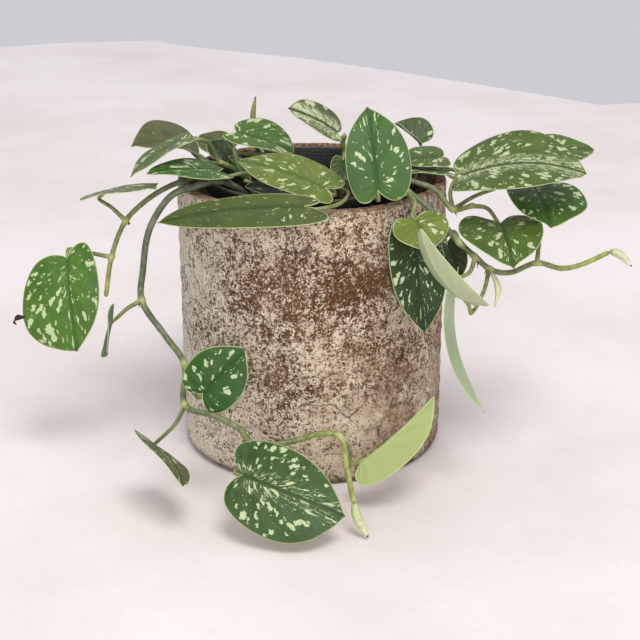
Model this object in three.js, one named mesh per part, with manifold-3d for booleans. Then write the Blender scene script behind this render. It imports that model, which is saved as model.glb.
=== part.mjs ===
// Potted satin pothos: a heart-leaved trailing plant in a plastic nursery pot, which stands inside
// a larger rough clay cover pot. Millimetres, +Z up. The origin is the centre of the cover pot's
// flat underside, on the table, and -Y is the front.
import * as THREE from 'three';
import { mergeVertices } from 'three/addons/utils/BufferGeometryUtils.js';
import Module from 'manifold-3d';

const wasm = await Module();
wasm.setup();

// Driving dimensions.
const POT_RADIUS = 70;         // cover pot, outside, at its lip
const POT_HEIGHT = 146;
const POT_WALL = 6;
const POT_FLOOR = 9;
const NURSERY_RADIUS = 55;     // plastic pot, outside of its rim
const NURSERY_TOP = 147.5;
const NURSERY_WALL = 1.6;
const NURSERY_FOOT = 42;       // outside radius at its bottom
const RIM_BAND = 7;            // height of the turned-out band round the nursery pot's top
const SOIL_TOP = 134;
const GAP = 0.4;               // clearance between pieces that touch
const BLADE_THICK = 1.2;       // leaf thickness at the midrib
const STEM_SIDES = 6;
const PETIOLE_SIDES = 5;
const STEM_ROWS = 10;          // spacing of the rows along a stem
const PETIOLE_ROWS = 9;
const PETIOLE_RADIUS = 1.0;
const POT_SEGMENTS = 48;
const SOIL_SEGMENTS = 30;

// Half outline of a leaf: how far along the midrib, in leaf lengths, and how far from it, in half
// widths. It starts in the notch, goes round a lobe and ends at the tip.
const OUTLINE = [
  [0, 0], [-0.07, 0.14], [-0.13, 0.38], [-0.11, 0.68], [0.04, 0.91], [0.28, 1],
  [0.52, 0.93], [0.73, 0.69], [0.88, 0.36], [0.95, 0.16], [1, 0],
];

// Leaves: name, notch, tip, side that the upper face looks to, the two half widths, and then how
// far each half folds up (degrees), how far the midrib arches (lengths) and how far the margin
// curls (degrees, negative is downwards). A lopsided leaf ends with how far each half slants, in
// lengths towards the tip.
const LEAVES = [
  ['leaf_left_outer_1', [-106, -24, 143], [-76, -50, 152], [0, 0.02, 1], [17, 17], 6, 0.04, -20],
  ['leaf_left_outer_2', [-124, -36, 112], [-120, -46, 65], [-0.15, -0.95, 0.1], [26, 16], 6, 0.05, -15, [0.25, -0.03]],
  ['leaf_left_1', [-99, -62, 88], [-98, -88, 80], [-1, -0.15, 0.2], [12, 12], 8, 0.03, 0],
  ['leaf_left_2', [-53, -88, 60], [-32, -86, 83], [-0.2, -0.95, 0.2], [15, 15], 8, 0.03, -10],
  ['leaf_left_3', [-76, -88, 31], [-60, -126, 29], [0.68, 0.1, 0.7], [19, 11], 6, 0.05, -10],
  ['leaf_left_4', [-33, -116, 30], [16, -131, 16], [-0.03, -0.8, 0.6], [24, 20], 5, 0.03, 0, [0.12, -0.02]],
  ['leaf_left_5', [24, -88, 22], [61, -76, 54], [0.67, -0.3, -0.6], [17, 17], 55, 0.03, 0],
  ['leaf_crown_left_1', [-61, 10, 154], [-93, -6, 162], [-0.2, -0.3, 0.9], [21, 24], 20, 0.12, -10],
  ['leaf_crown_left_2', [-63, -22, 170], [-90, -36, 154], [-0.5, -0.15, 0.85], [12, 12], 8, 0.06, -10],
  ['leaf_crown_left_3', [-46, 30, 152], [-62, 44, 156], [-0.2, -0.3, 0.9], [9, 10], 10, 0.05, -10],
  ['leaf_crown_left_4', [-44, 14, 152], [-56, 22, 158], [-0.1, -0.5, 0.85], [7, 7], 10, 0.05, -10],
  ['leaf_front_1', [-47, -28, 155], [-81, -44, 158], [0, -0.12, 1], [13, 16], 8, 0.05, -10],
  ['leaf_front_2', [-3, -75, 150.5], [-76, -51, 135], [-0.15, -0.6, 0.78], [8, 12], 8, 0.05, -15, [0.12, -0.04]],
  ['leaf_front_3', [-9, -33, 146], [-34, -27, 147], [0, -0.3, 0.95], [8, 9], 8, 0.03, 0],
  ['leaf_mid_1', [-39, 4, 167], [-9, -8, 159], [0, -0.25, 0.97], [13, 16], 12, 0.05, -10],
  ['leaf_mid_2', [7, -54, 153.5], [-37, -30, 161], [-0.1, -0.4, 0.9], [13, 13], 8, 0.05, -10],
  ['leaf_back_1', [13, -4, 169], [-12, -14, 184], [-0.3, -0.5, 0.8], [13, 9], 8, 0.05, -10, [0.05, 0.1]],
  ['leaf_back_2', [16, -12, 157], [14, -22, 147], [0, -0.8, 0.5], [6, 6], 8, 0.05, -10],
  ['leaf_right_crown_1', [32, -62, 154.5], [27, -40, 190.5], [0, -0.85, 0.52], [17.5, 14], 8, 0.03, -10],
  ['leaf_right_crown_2', [58, 22, 157], [44, 30, 166], [0.3, -0.3, 0.9], [12, 12], 35, 0.05, 0],
  ['leaf_right_crown_3', [67, -4, 156], [46, -10, 155], [0, -0.3, 0.95], [11, 11], 8, 0.05, -10],
  ['leaf_right_crown_4', [69.5, -12, 150], [49, -18, 151.5], [0, 0, 1], [8, 7], 8, 0.04, -10],
  ['leaf_right_upper_1', [75, -36, 155], [135, -44, 158], [0, -0.33, 0.94], [22, 27], 8, 0.11, -10, [0.1, 0.12]],
  ['leaf_right_upper_2', [117, -2, 156], [148, 8, 157], [0, -0.35, 0.93], [13, 15], 8, 0.05, -10],
  ['leaf_right_upper_3', [94, -42, 132], [97, -76, 120], [0, -0.5, 0.85], [23, 19], 15, 0.05, -10],
  ['leaf_right_1', [112, -24, 146], [117, -56, 134], [0.1, -0.4, 0.9], [16, 24], 6, 0.05, -10, [0, 0.08]],
  ['leaf_right_0', [50, -68, 142], [57, -80, 130], [0.1, -0.6, 0.8], [14, 14], 8, 0.05, -10],
  ['leaf_right_2', [49, -65, 134], [55, -77, 87], [0.2, -0.95, 0.1], [14, 14], 8, 0.04, -10],
  ['leaf_right_3', [75, -91, 108], [50, -99, 148], [0.6, 0.65, 0.45], [13, 9], 10, -0.12, 25],
  ['leaf_right_4', [70, -66, 107], [87, -72, 42], [-0.9, 0.35, -0.2], [8, 8], 10, 0.1, 20],
  ['leaf_right_5', [67, -50, 124], [74, -56, 108], [-0.2, -0.9, 0.3], [8, 8], 8, 0.03, 0],
  ['leaf_back_left_1', [-56, 72, 136], [-60, 96, 112], [-0.3, 0.6, 0.7], [15, 14], 8, 0.05, -10],
  ['leaf_back_left_2', [-46, 86, 112], [-36, 93, 76], [0, 1, 0.1], [15, 15], 8, 0.04, -10],
  ['leaf_back_left_3', [-60, 86, 84], [-62, 93, 50], [-0.3, 0.9, 0.1], [12, 13], 8, 0.04, -10],
  ['leaf_back_left_4', [-33, 91, 45], [-24, 97, 12], [0, 0.95, 0.3], [14, 14], 8, 0.04, -10],
  ['leaf_back_right_1', [34, 78, 137], [14, 100, 126], [-0.2, 0.45, 0.87], [18, 17], 8, 0.06, -10],
  ['leaf_back_right_2', [61, 84, 110], [67, 92, 74], [0.4, 0.9, 0.1], [15, 14], 8, 0.04, -10],
  ['leaf_back_right_3', [38, 90, 84], [28, 96, 50], [-0.1, 0.97, 0.1], [15, 15], 8, 0.04, -10],
  ['leaf_back_right_4', [49, 97, 56], [60, 104, 26], [0.2, 0.95, 0.2], [13, 13], 8, 0.04, -10],
];

// Vines: name, radius, points along the stem from its root in the soil, and branches. A branch is
// the number of the stem point that it leaves, the leaf that it carries (or null), and the points
// that it passes on the way.
const VINES = [
  ['vine_left_outer', 1.5,
    [[-34, -8, 128], [-37, -10, 138], [-44, -15, 147], [-50, -20, 151], [-63, -28, 150.5],
      [-72, -32, 148], [-82, -33, 142], [-94, -31, 130], [-102, -32, 111], [-105, -36, 93]],
    [[7, 'leaf_left_outer_1', [-101, -28, 136]], [8, 'leaf_left_outer_2', [-114, -33, 114]]]],
  ['vine_left', 1.7,
    [[-30, -20, 128], [-32, -23, 139], [-38, -29, 147], [-46, -36, 152], [-60, -41, 150],
      [-69, -44, 147], [-80, -47, 131], [-84, -50, 110], [-85, -52, 95], [-73, -60, 79],
      [-63, -70, 68], [-62, -84, 52], [-46, -95, 51], [-34, -100, 46], [-29, -101, 39],
      [-20, -100, 38], [-7, -99, 40], [4, -100, 44], [14, -103, 44], [17, -111, 31], [20, -118, 18]],
    [[8, 'leaf_left_1', [-92, -56, 92]], [10, 'leaf_left_2', [-60, -80, 62]],
      [11, 'leaf_left_3', [-67, -84, 42]], [14, 'leaf_left_4', [-33, -107, 33]],
      [18, 'leaf_left_5', [19, -97, 33]]]],
  ['vine_right', 1.6,
    [[28, -31, 128], [30, -33, 138], [32, -36, 147.5], [38, -42, 151.5], [47, -51, 150.5],
      [54, -56, 147], [62, -58, 139], [72, -60, 128], [80, -62, 121], [87, -62, 115],
      [99, -50, 109], [114, -38, 110], [128, -32, 105], [139, -28, 106], [151, -26, 111]],
    [[4, 'leaf_right_0', [50, -61, 148]], [6, 'leaf_right_2', [55, -58, 141]],
      [7, 'leaf_right_5', [70, -49, 130]], [9, 'leaf_right_3', [83, -76, 108]],
      [8, 'leaf_right_4', [77, -65, 114]], [11, 'leaf_right_1', [116, -26, 128]]]],
  ['vine_right_upper', 1.5,
    [[33, -24, 128], [34, -25, 138], [38, -28, 146], [46, -33, 151.5], [55, -36, 150.5],
      [61, -38, 148.5], [66, -41, 143.5], [70, -43, 139.5], [80, -38, 140]],
    [[7, 'leaf_right_upper_1', [69, -37, 147]], [8, 'leaf_right_upper_3', [88, -36, 138]],
      [7, 'leaf_right_upper_2', [82, -31, 143], [95, -24, 146], [108, -10, 150]]]],
  ['vine_crown_left', 1.5,
    [[-30, 0, 128], [-32, 0, 140], [-38, -1, 148], [-48, -5, 154]],
    [[2, 'leaf_crown_left_1', [-48, 5, 150]], [3, 'leaf_crown_left_2', [-53, -12, 166]],
      [1, 'leaf_crown_left_3', [-36, 20, 147]], [1, 'leaf_crown_left_4', [-36, 8, 146]]]],
  ['vine_front', 1.4,
    [[-16, -12, 128], [-17, -16, 139], [-21, -20, 147]],
    [[2, 'leaf_front_1', [-33, -24, 153]], [1, 'leaf_front_3', [-9, -24, 142]],
      [1, null, [-27, -16.5, 144], [-34.5, -18, 147.6]]]],
  ['vine_mid', 1.5,
    [[-4, 2, 128], [-6, 2, 140], [-10, 2, 150], [-14, 3, 158]],
    [[3, 'leaf_mid_1', [-28, 6, 155], [-42, 8, 157]], [2, 'leaf_mid_2', [6, -20, 150], [11, -42, 149.6]],
      [1, 'leaf_front_2', [10, -28, 147], [18, -48, 149.6], [13, -68, 149.6]]]],
  ['vine_back', 1.4,
    [[18, 10, 128], [18, 9, 142], [17, 6, 154], [16, 2, 163]],
    [[3, 'leaf_back_1', [17, -1, 167]], [2, 'leaf_back_2', [17, -4, 158]]]],
  ['vine_right_crown', 1.5,
    [[34, 2, 128], [36, 0, 142], [40, -2, 150], [46, -2, 155]],
    [[1, 'leaf_right_crown_1', [26, -24, 147], [26, -44, 150.5], [31, -57, 150]],
      [3, 'leaf_right_crown_2', [54, 12, 155]], [3, 'leaf_right_crown_3', [58, 5, 152.5], [69, 3, 153.5]],
      [2, 'leaf_right_crown_4', [54, 0, 149.8], [66, 0, 149.5], [75, -6, 149]]]],
  ['vine_back_left', 1.5,
    [[-20, 30, 128], [-23, 34, 139], [-28, 40, 147], [-33, 46, 151.8], [-44, 57, 150],
      [-50, 64, 142], [-54, 73, 118], [-53, 78, 94], [-46, 82, 72], [-38, 86, 54]],
    [[5, 'leaf_back_left_1', [-54, 67, 139]], [6, 'leaf_back_left_2', [-50, 82, 115]],
      [7, 'leaf_back_left_3', [-58, 82, 88]], [9, 'leaf_back_left_4', [-35, 89, 49]],
      [2, null, [-30, 33, 152], [-31, 26, 158], [-30.5, 24, 162]]]],
  ['vine_back_right', 1.5,
    [[16, 34, 128], [19, 37, 139], [24, 42, 147], [30, 48, 151], [38, 60, 150],
      [44, 68, 140], [52, 76, 116], [50, 81, 90], [42, 86, 68]],
    [[5, 'leaf_back_right_1', [40, 74, 138]], [6, 'leaf_back_right_2', [58, 80, 114]],
      [7, 'leaf_back_right_3', [44, 87, 87]], [8, 'leaf_back_right_4', [43, 91, 63]]]],
];

// New shoots, each a leaf still rolled up: name, greatest radius and the points from foot to tip.
const SHOOTS = [
  ['shoot_front', 2.6, [[20.5, -119, 16.2], [22.5, -121.5, 9], [27, -125, 1.8]]],
  ['shoot_right', 2.4, [[153, -26, 112.4], [158, -27, 111], [164, -28, 105]]],
  ['shoot_left', 1.8, [[-35, -18, 148.8], [-38, -17, 157], [-40, -16, 165]]],
  ['shoot_top', 1.6, [[-30.5, 24, 163.4], [-31.5, 25, 171], [-30, 26, 181]]],
];

const vector = (p) => new THREE.Vector3(...p);

function weld(geometry) {
  geometry.deleteAttribute('normal');
  geometry.deleteAttribute('uv');
  return mergeVertices(geometry, 1e-4);
}

function solid(geometry) {
  return new wasm.Manifold(new wasm.Mesh({
    numProp: 3,
    vertProperties: new Float32Array(geometry.attributes.position.array),
    triVerts: new Uint32Array(geometry.index.array),
  }));
}

function geometryOf(manifold) {
  const mesh = manifold.getMesh();
  const geometry = new THREE.BufferGeometry();
  geometry.setAttribute('position', new THREE.BufferAttribute(new Float32Array(mesh.vertProperties), 3));
  geometry.setIndex(new THREE.BufferAttribute(new Uint32Array(mesh.triVerts), 1));
  return geometry;
}

const MATERIALS = {
  clay: { color: 0x9c7d63, roughness: 0.95 },
  plastic: { color: 0x2b2724, roughness: 0.5 },
  soil: { color: 0x3c2a1e, roughness: 1 },
  stem: { color: 0x7c8a52, roughness: 0.6 },
  leaf: { color: 0x3f6e38, roughness: 0.55 },
  shoot: { color: 0xc3cc96, roughness: 0.55 },
};

const plant = new THREE.Group();

function add(name, geometry, slot) {
  const material = new THREE.MeshStandardMaterial({ ...MATERIALS[slot], metalness: 0 });
  material.name = slot;
  const mesh = new THREE.Mesh(geometry, material);
  mesh.name = name;
  plant.add(mesh);
}

// A turned body about the Z axis. The profile runs from the axis at the bottom, up the outside and
// back to the axis.
function turned(profile, segments) {
  const points = profile.map(([radius, height]) => new THREE.Vector2(radius, height));
  return weld(new THREE.LatheGeometry(points, segments).rotateX(Math.PI / 2));
}

// The places along a curve (0 to 1) that get a row: every point of its list, and between them.
function rowPlaces(points, spacing) {
  const places = [];
  const spans = points.length - 1;
  for (let i = 0; i < spans; i++) {
    const parts = Math.max(1, Math.round(vector(points[i]).distanceTo(vector(points[i + 1])) / spacing));
    for (let k = 0; k < parts; k++) places.push((i + k / parts) / spans);
  }
  return [...places, 1];
}

// At each place, the point of the curve and two directions across it that turn as little as they can.
function rowFrames(curve, places) {
  const start = curve.getTangent(0);
  let normal = new THREE.Vector3(0.31, 0.95, 0.07).cross(start).normalize();
  return places.map((place) => {
    const tangent = curve.getTangent(place);
    normal = normal.clone().addScaledVector(tangent, -normal.dot(tangent)).normalize();
    return { point: curve.getPoint(place), normal, binormal: tangent.clone().cross(normal) };
  });
}

// A round stem along a smooth curve: a turned column, one row for each step, bent onto the curve.
function stemAlong(points, radiusAt, sides, spacing) {
  const curve = new THREE.CatmullRomCurve3(points.map(vector));
  const places = rowPlaces(points, spacing);
  const frames = rowFrames(curve, places);
  const last = places.length - 1;
  const profile = [new THREE.Vector2(0, 0)];
  places.forEach((place, row) => profile.push(new THREE.Vector2(radiusAt(place), row)));
  profile.push(new THREE.Vector2(0, last));
  const geometry = weld(new THREE.LatheGeometry(profile, sides));
  const position = geometry.attributes.position;
  for (let i = 0; i < position.count; i++) {
    const { point, normal, binormal } = frames[Math.round(position.getY(i))];
    const bent = point.clone().addScaledVector(normal, position.getX(i));
    bent.addScaledVector(binormal, -position.getZ(i));
    position.setXYZ(i, bent.x, bent.y, bent.z);
  }
  return geometry;
}

// The frame of a leaf: along its midrib, out of its upper face and across it.
function leafFrame([, notch, tip, face]) {
  const base = vector(notch);
  const along = vector(tip).sub(base);
  const length = along.length();
  along.normalize();
  const up = vector(face);
  up.addScaledVector(along, -up.dot(along)).normalize();
  return { base, length, along, up, across: new THREE.Vector3().crossVectors(along, up) };
}

const outline = new THREE.CatmullRomCurve3(OUTLINE.map(([u, v]) => new THREE.Vector3(u, v, 0)),
  false, 'catmullrom');

// Where a vein leaves the midrib, for the vein that ends at place t of the outline.
const veinRoot = (t) => 0.04 * t + 0.96 * t ** 3.5;

// A point of a leaf: t is the vein, s the distance along it from midrib (0) to margin (1), side is
// 1 or -1, and lift the distance above the middle of the blade.
function leafPoint(leaf, frame, t, s, side, lift) {
  const [, , , , halves, foldDegrees, bow, curlDegrees, slants = [0, 0]] = leaf;
  const which = side > 0 ? 0 : 1;
  const half = halves[which];
  const edge = outline.getPoint(t);
  const edgeU = edge.x + slants[which] * edge.y;
  const u = veinRoot(t) + (edgeU - veinRoot(t)) * s;
  const out = edge.y * s * half;
  const fold = THREE.MathUtils.degToRad(foldDegrees);
  const bend = THREE.MathUtils.degToRad(curlDegrees) / half;
  let y = out * Math.cos(fold);
  let z = out * Math.sin(fold);
  if (bend !== 0) {
    y = (Math.sin(fold + bend * out) - Math.sin(fold)) / bend;
    z = (Math.cos(fold) - Math.cos(fold + bend * out)) / bend;
  }
  z += 4 * bow * frame.length * u * (1 - u);
  const tilt = s > 0 ? fold + bend * out : 0;
  y -= Math.sin(tilt) * lift;
  z += Math.cos(tilt) * lift;
  return frame.base.clone()
    .addScaledVector(frame.along, u * frame.length)
    .addScaledVector(frame.across, side * y)
    .addScaledVector(frame.up, z);
}

const BLADE_ROWS = 8;
const BLADE_COLUMNS = [0, 0.55, 1];

// A leaf blade: an upper and a lower surface that meet in a thin margin, notch and tip.
function bladeGeometry(leaf) {
  const frame = leafFrame(leaf);
  const positions = [];
  const triangles = [];
  const index = (point) => positions.push(...point.toArray()) / 3 - 1;
  const notch = index(leafPoint(leaf, frame, 0, 0, 1, 0));
  const tip = index(leafPoint(leaf, frame, 1, 0, 1, 0));
  const rows = Array.from({ length: BLADE_ROWS - 1 }, (_, i) => (i + 1) / BLADE_ROWS);
  const midribs = [1, -1].map((face) => rows.map((t) =>
    index(leafPoint(leaf, frame, t, 0, 1, face * BLADE_THICK / 2))));
  for (const side of [1, -1]) {
    const margin = rows.map((t) => index(leafPoint(leaf, frame, t, 1, side, 0)));
    for (const [which, face] of [[0, 1], [1, -1]]) {
      const inner = rows.map((t) => index(leafPoint(leaf, frame, t, BLADE_COLUMNS[1], side,
        face * BLADE_THICK / 2.6)));
      const columns = [midribs[which], inner, margin].map((row) => [notch, ...row, tip]);
      for (let c = 0; c < 2; c++) {
        for (let r = 0; r < BLADE_ROWS; r++) {
          const quad = [columns[c][r], columns[c][r + 1], columns[c + 1][r + 1], columns[c + 1][r]];
          const corners = [...new Set(quad)];
          if (side * face < 0) corners.reverse();
          for (let k = 1; k < corners.length - 1; k++) {
            triangles.push(corners[0], corners[k + 1], corners[k]);
          }
        }
      }
    }
  }
  const geometry = new THREE.BufferGeometry();
  geometry.setAttribute('position', new THREE.BufferAttribute(new Float32Array(positions), 3));
  geometry.setIndex(triangles);
  return geometry;
}

// The stalk of a leaf ends just behind and below the notch, and comes in along the leaf.
function stalkEnd(name) {
  const { base, length, along, up } = leafFrame(LEAVES.find((leaf) => leaf[0] === name));
  const reach = Math.min(4, length / 6);
  const at = (back, below) => base.clone().addScaledVector(along, -back).addScaledVector(up, -below)
    .toArray();
  return [at(reach, reach * 0.75), at(1, 1.7)];
}

function vineSolid([, radius, stem, branches]) {
  const radiusAt = (place) => radius * (1.05 - 0.2 * place);
  let vine = solid(stemAlong(stem, radiusAt, STEM_SIDES, STEM_ROWS));
  for (const [from, leaf, ...via] of branches) {
    const path = [stem[from], ...via, ...(leaf ? stalkEnd(leaf) : [])];
    const stalk = stemAlong(path, (place) => PETIOLE_RADIUS * (1.15 - 0.2 * place), PETIOLE_SIDES, PETIOLE_ROWS);
    vine = vine.add(solid(stalk));
  }
  return vine;
}

function coverPot() {
  const inner = POT_RADIUS - POT_WALL;
  const profile = [
    [0, 0], [66, 0], [68.6, 1.2], [69.5, 4], [POT_RADIUS, POT_HEIGHT - 5], [69.6, POT_HEIGHT - 1.4],
    [68.2, POT_HEIGHT], [65.6, POT_HEIGHT], [inner, POT_HEIGHT - 1.6], [inner - 0.7, 16],
    [inner - 4, POT_FLOOR], [0, POT_FLOOR],
  ];
  return turned(profile, POT_SEGMENTS);
}

function nurseryPot() {
  const foot = POT_FLOOR + GAP;
  const under = NURSERY_RADIUS - 1.8;
  const bandFoot = NURSERY_TOP - RIM_BAND;
  const profile = [
    [0, foot], [NURSERY_FOOT, foot], [under - 0.6, bandFoot - 0.8], [NURSERY_RADIUS, bandFoot],
    [NURSERY_RADIUS, NURSERY_TOP - 0.5], [NURSERY_RADIUS - 0.6, NURSERY_TOP],
    [NURSERY_RADIUS - NURSERY_WALL, NURSERY_TOP], [under - NURSERY_WALL - 0.2, bandFoot - 3],
    [NURSERY_FOOT - NURSERY_WALL, foot + 2], [0, foot + 2],
  ];
  return turned(profile, POT_SEGMENTS);
}

// Height of the soil's clods above its mean level.
function clods(x, y) {
  return 1.3 * Math.sin(x / 7 + 1) * Math.cos(y / 6) + 0.9 * Math.sin(x / 3.6 + y / 4.4);
}

function soilBody() {
  const foot = POT_FLOOR + GAP + 2 + GAP;
  const bottomRadius = NURSERY_FOOT - NURSERY_WALL - 1;
  const topRadius = 49.2;
  const profile = [[0, foot], [bottomRadius, foot], [topRadius, SOIL_TOP - 2]];
  for (const radius of [44, 36, 27, 18, 9, 0]) profile.push([radius, SOIL_TOP]);
  const geometry = turned(profile, SOIL_SEGMENTS);
  const position = geometry.attributes.position;
  for (let i = 0; i < position.count; i++) {
    const z = position.getZ(i);
    if (z > SOIL_TOP - 1) position.setZ(i, z + clods(position.getX(i), position.getY(i)));
  }
  let soil = solid(geometry);
  for (const [, radius, stem] of VINES) {
    const start = vector(stem[0]);
    const below = start.clone().sub(vector(stem[1])).setLength(0.8).add(start).toArray();
    soil = soil.subtract(solid(stemAlong([below, ...stem.slice(0, 4)], () => radius * 1.05 + GAP,
      STEM_SIDES, STEM_ROWS)));
  }
  return soil;
}

function shootGeometry([, radius, points]) {
  const radiusAt = (place) => 0.5 + (radius - 0.5) * Math.sin(Math.PI * (0.12 + 0.86 * place)) ** 0.8;
  return stemAlong(points, radiusAt, 8, 3);
}

add('outer_pot', coverPot(), 'clay');
add('nursery_pot', nurseryPot(), 'plastic');
add('soil', geometryOf(soilBody()), 'soil');
for (const vine of VINES) add(vine[0], geometryOf(vineSolid(vine)), 'stem');
for (const leaf of LEAVES) add(leaf[0], bladeGeometry(leaf), 'leaf');
for (const shoot of SHOOTS) add(shoot[0], shootGeometry(shoot), 'shoot');

export default plant;
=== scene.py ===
# %% [markdown]
# # Potted satin pothos
# A satin pothos is a trailing house plant. Its heart-shaped leaves are dull green with splashes of
# silver, and its vines climb out of a plastic nursery pot and hang over a rough clay cover pot.
# The solid model of the plant is already there as a fixed frame. This lesson dresses it: every
# leaf, vine and pot is rebuilt finer at the same place, and gets a finish made of shader nodes.
# All lengths in the tables are millimetres, and meshes are stored in metres.

# %% Load the frame
import math
import random
import bpy
import numpy as np
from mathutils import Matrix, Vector


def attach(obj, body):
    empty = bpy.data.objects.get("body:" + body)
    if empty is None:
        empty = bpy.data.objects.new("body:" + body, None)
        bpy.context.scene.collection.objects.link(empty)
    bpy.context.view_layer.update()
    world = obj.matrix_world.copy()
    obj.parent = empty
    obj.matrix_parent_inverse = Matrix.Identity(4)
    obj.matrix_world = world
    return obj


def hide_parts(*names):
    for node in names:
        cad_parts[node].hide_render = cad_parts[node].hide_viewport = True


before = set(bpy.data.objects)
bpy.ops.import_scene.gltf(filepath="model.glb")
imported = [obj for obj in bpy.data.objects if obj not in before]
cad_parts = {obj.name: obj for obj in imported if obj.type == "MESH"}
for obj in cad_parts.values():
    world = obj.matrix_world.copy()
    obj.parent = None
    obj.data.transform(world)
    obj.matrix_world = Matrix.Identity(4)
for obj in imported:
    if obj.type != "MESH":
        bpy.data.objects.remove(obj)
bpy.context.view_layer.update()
MM = 0.001

# %% [markdown]
# ## Camera
# A long lens keeps the round pot from bulging. It looks along +Y and a little down, so that the
# rim, the soil's shadow and the leaves that lie on the table all show.

# %% Camera
PITCH_DOWN = 0.363
camera_data = bpy.data.cameras.new("camera")
camera_data.lens = 82.07
camera_data.sensor_width = 36
camera = bpy.data.objects.new("camera", camera_data)
camera.location = (0.0042, -0.738, 0.345)
camera.rotation_euler = (math.pi / 2 - PITCH_DOWN, 0, 0)
bpy.context.scene.collection.objects.link(camera)
bpy.context.scene.camera = camera
print("camera:", camera_data.lens, "mm at", tuple(camera.location))

# %% [markdown]
# ## Meshes and shader nodes from short calls
# Three helpers do the repeated work. `new_mesh` makes an object from lists of points and faces,
# `Shader` adds nodes and links them in one call, and `srgb` turns a colour that is given in 0 to
# 255 steps into the linear values that a shader works with.

# %% Helpers
def show(name, data):
    """A new object with this data, at the origin of the scene."""
    thing = bpy.data.objects.new(name, data)
    bpy.context.scene.collection.objects.link(thing)
    return thing


def new_mesh(name, points, faces, smooth=True):
    """A mesh object from points in metres, at the origin."""
    mesh = bpy.data.meshes.new(name)
    mesh.from_pydata([tuple(p) for p in points], [], [tuple(f) for f in faces])
    mesh.validate()
    mesh.polygons.foreach_set("use_smooth", [smooth] * len(mesh.polygons))
    return show(name, mesh)


def srgb(r, g, b):
    """Linear colour, with alpha, of a colour given in steps from 0 to 255."""
    steps = [c / 255 for c in (r, g, b)]
    return tuple(c / 12.92 if c < 0.04045 else ((c + 0.055) / 1.055) ** 2.4 for c in steps) + (1,)


class Shader:
    """A material with a Principled surface, and short calls for the nodes that feed it."""

    def __init__(self, name, roughness, **constants):
        self.material = bpy.data.materials.new(name)
        self.material.use_nodes = True
        self.nodes = self.material.node_tree.nodes
        self.links = self.material.node_tree.links
        self.surface = self.nodes["Principled BSDF"]
        self.surface.inputs["Roughness"].default_value = roughness
        for socket, value in constants.items():
            self.surface.inputs[socket.replace("_", " ")].default_value = value

    def put(self, socket, value):
        """Links value to an input socket, or sets the socket to it."""
        if isinstance(value, bpy.types.NodeSocket):
            self.links.new(value, socket)
        else:
            socket.default_value = value

    def node(self, kind, inputs=(), **settings):
        made = self.nodes.new("ShaderNode" + kind)
        for name, value in settings.items():
            setattr(made, name, value)
        for key, value in dict(inputs).items():
            self.put(made.inputs[key], value)
        return made

    def math(self, operation, *values, clamp=False):
        made = self.node("Math", enumerate(values), operation=operation)
        made.use_clamp = clamp
        return made.outputs[0]

    def step(self, value, low, high):
        """0 where value is under low, 1 over high, and smooth between them."""
        made = self.node("MapRange", {0: value, 1: low, 2: high}, interpolation_type="SMOOTHSTEP")
        return made.outputs[0]

    def mix(self, amount, a, b, blend="MIX"):
        made = self.node("Mix", {0: amount, 6: a, 7: b}, data_type="RGBA", blend_type=blend)
        return made.outputs[2]

    def vector(self, operation, *values):
        return self.node("VectorMath", enumerate(values), operation=operation).outputs[0]

    def distance(self, a, b):
        made = self.node("VectorMath", {0: a, 1: b}, operation="DISTANCE")
        return made.outputs["Value"]

    def noise(self, at, scale, detail=3, roughness=0.5, distortion=0.0):
        inputs = {"Vector": at, "Scale": scale, "Detail": detail, "Roughness": roughness,
                  "Distortion": distortion}
        return self.node("TexNoise", inputs).outputs["Fac"]

    def cells(self, at, scale, feature="F1"):
        return self.node("TexVoronoi", {"Vector": at, "Scale": scale}, feature=feature)

    def attribute(self, name, output="Fac"):
        return self.node("Attribute", attribute_name=name).outputs[output]

    def objects_place(self):
        return self.node("TexCoord").outputs["Object"]

    def bump(self, height, distance, before=None):
        inputs = {"Height": height, "Distance": distance, "Strength": 1.0}
        if before is not None:
            inputs["Normal"] = before
        return self.node("Bump", inputs).outputs["Normal"]

    def finish(self, color, roughness=None, normal=None):
        self.put(self.surface.inputs["Base Color"], color)
        if roughness is not None:
            self.put(self.surface.inputs["Roughness"], roughness)
        if normal is not None:
            self.put(self.surface.inputs["Normal"], normal)
        return self.material


print("helpers ready")

# %% [markdown]
# ## Leaf shape
# A leaf is a flat heart that is folded a little along its midrib, arched from end to end and
# curled at its margins. One half outline serves every leaf: each half is stretched to its own
# width, and a lopsided half slants towards the tip. The surface is a grid of veins: a row leaves
# the midrib and sweeps out to the margin, so that marks drawn along a row look like real ones.

# %% The half outline of a leaf
OUTLINE = [
    (0, 0), (-0.07, 0.14), (-0.13, 0.38), (-0.11, 0.68), (0.04, 0.91), (0.28, 1),
    (0.52, 0.93), (0.73, 0.69), (0.88, 0.36), (0.95, 0.16), (1, 0),
]


def outline_at(t):
    """A point of the smooth half outline, for t from 0 at the notch to 1 at the tip."""
    points = [np.array(p, float) for p in OUTLINE]
    padded = [2 * points[0] - points[1]] + points + [2 * points[-1] - points[-2]]
    span = min(int(t * (len(points) - 1)), len(points) - 2)
    w = t * (len(points) - 1) - span
    a, b, c, d = padded[span:span + 4]
    start, end = (c - a) / 2, (d - b) / 2
    return b + start * w + (3 * (c - b) - 2 * start - end) * w ** 2 + (
        2 * (b - c) + start + end) * w ** 3


def unit(v):
    return np.array(v, float) / np.linalg.norm(v)


def leaf_frame(leaf):
    """The notch, the length, and the directions along, across and out of the upper face."""
    notch, tip, face = (np.array(v, float) for v in leaf["place"])
    length = np.linalg.norm(tip - notch)
    along = (tip - notch) / length
    up = unit(face - face.dot(along) * along)
    return notch, length, along, np.cross(along, up), up


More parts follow.
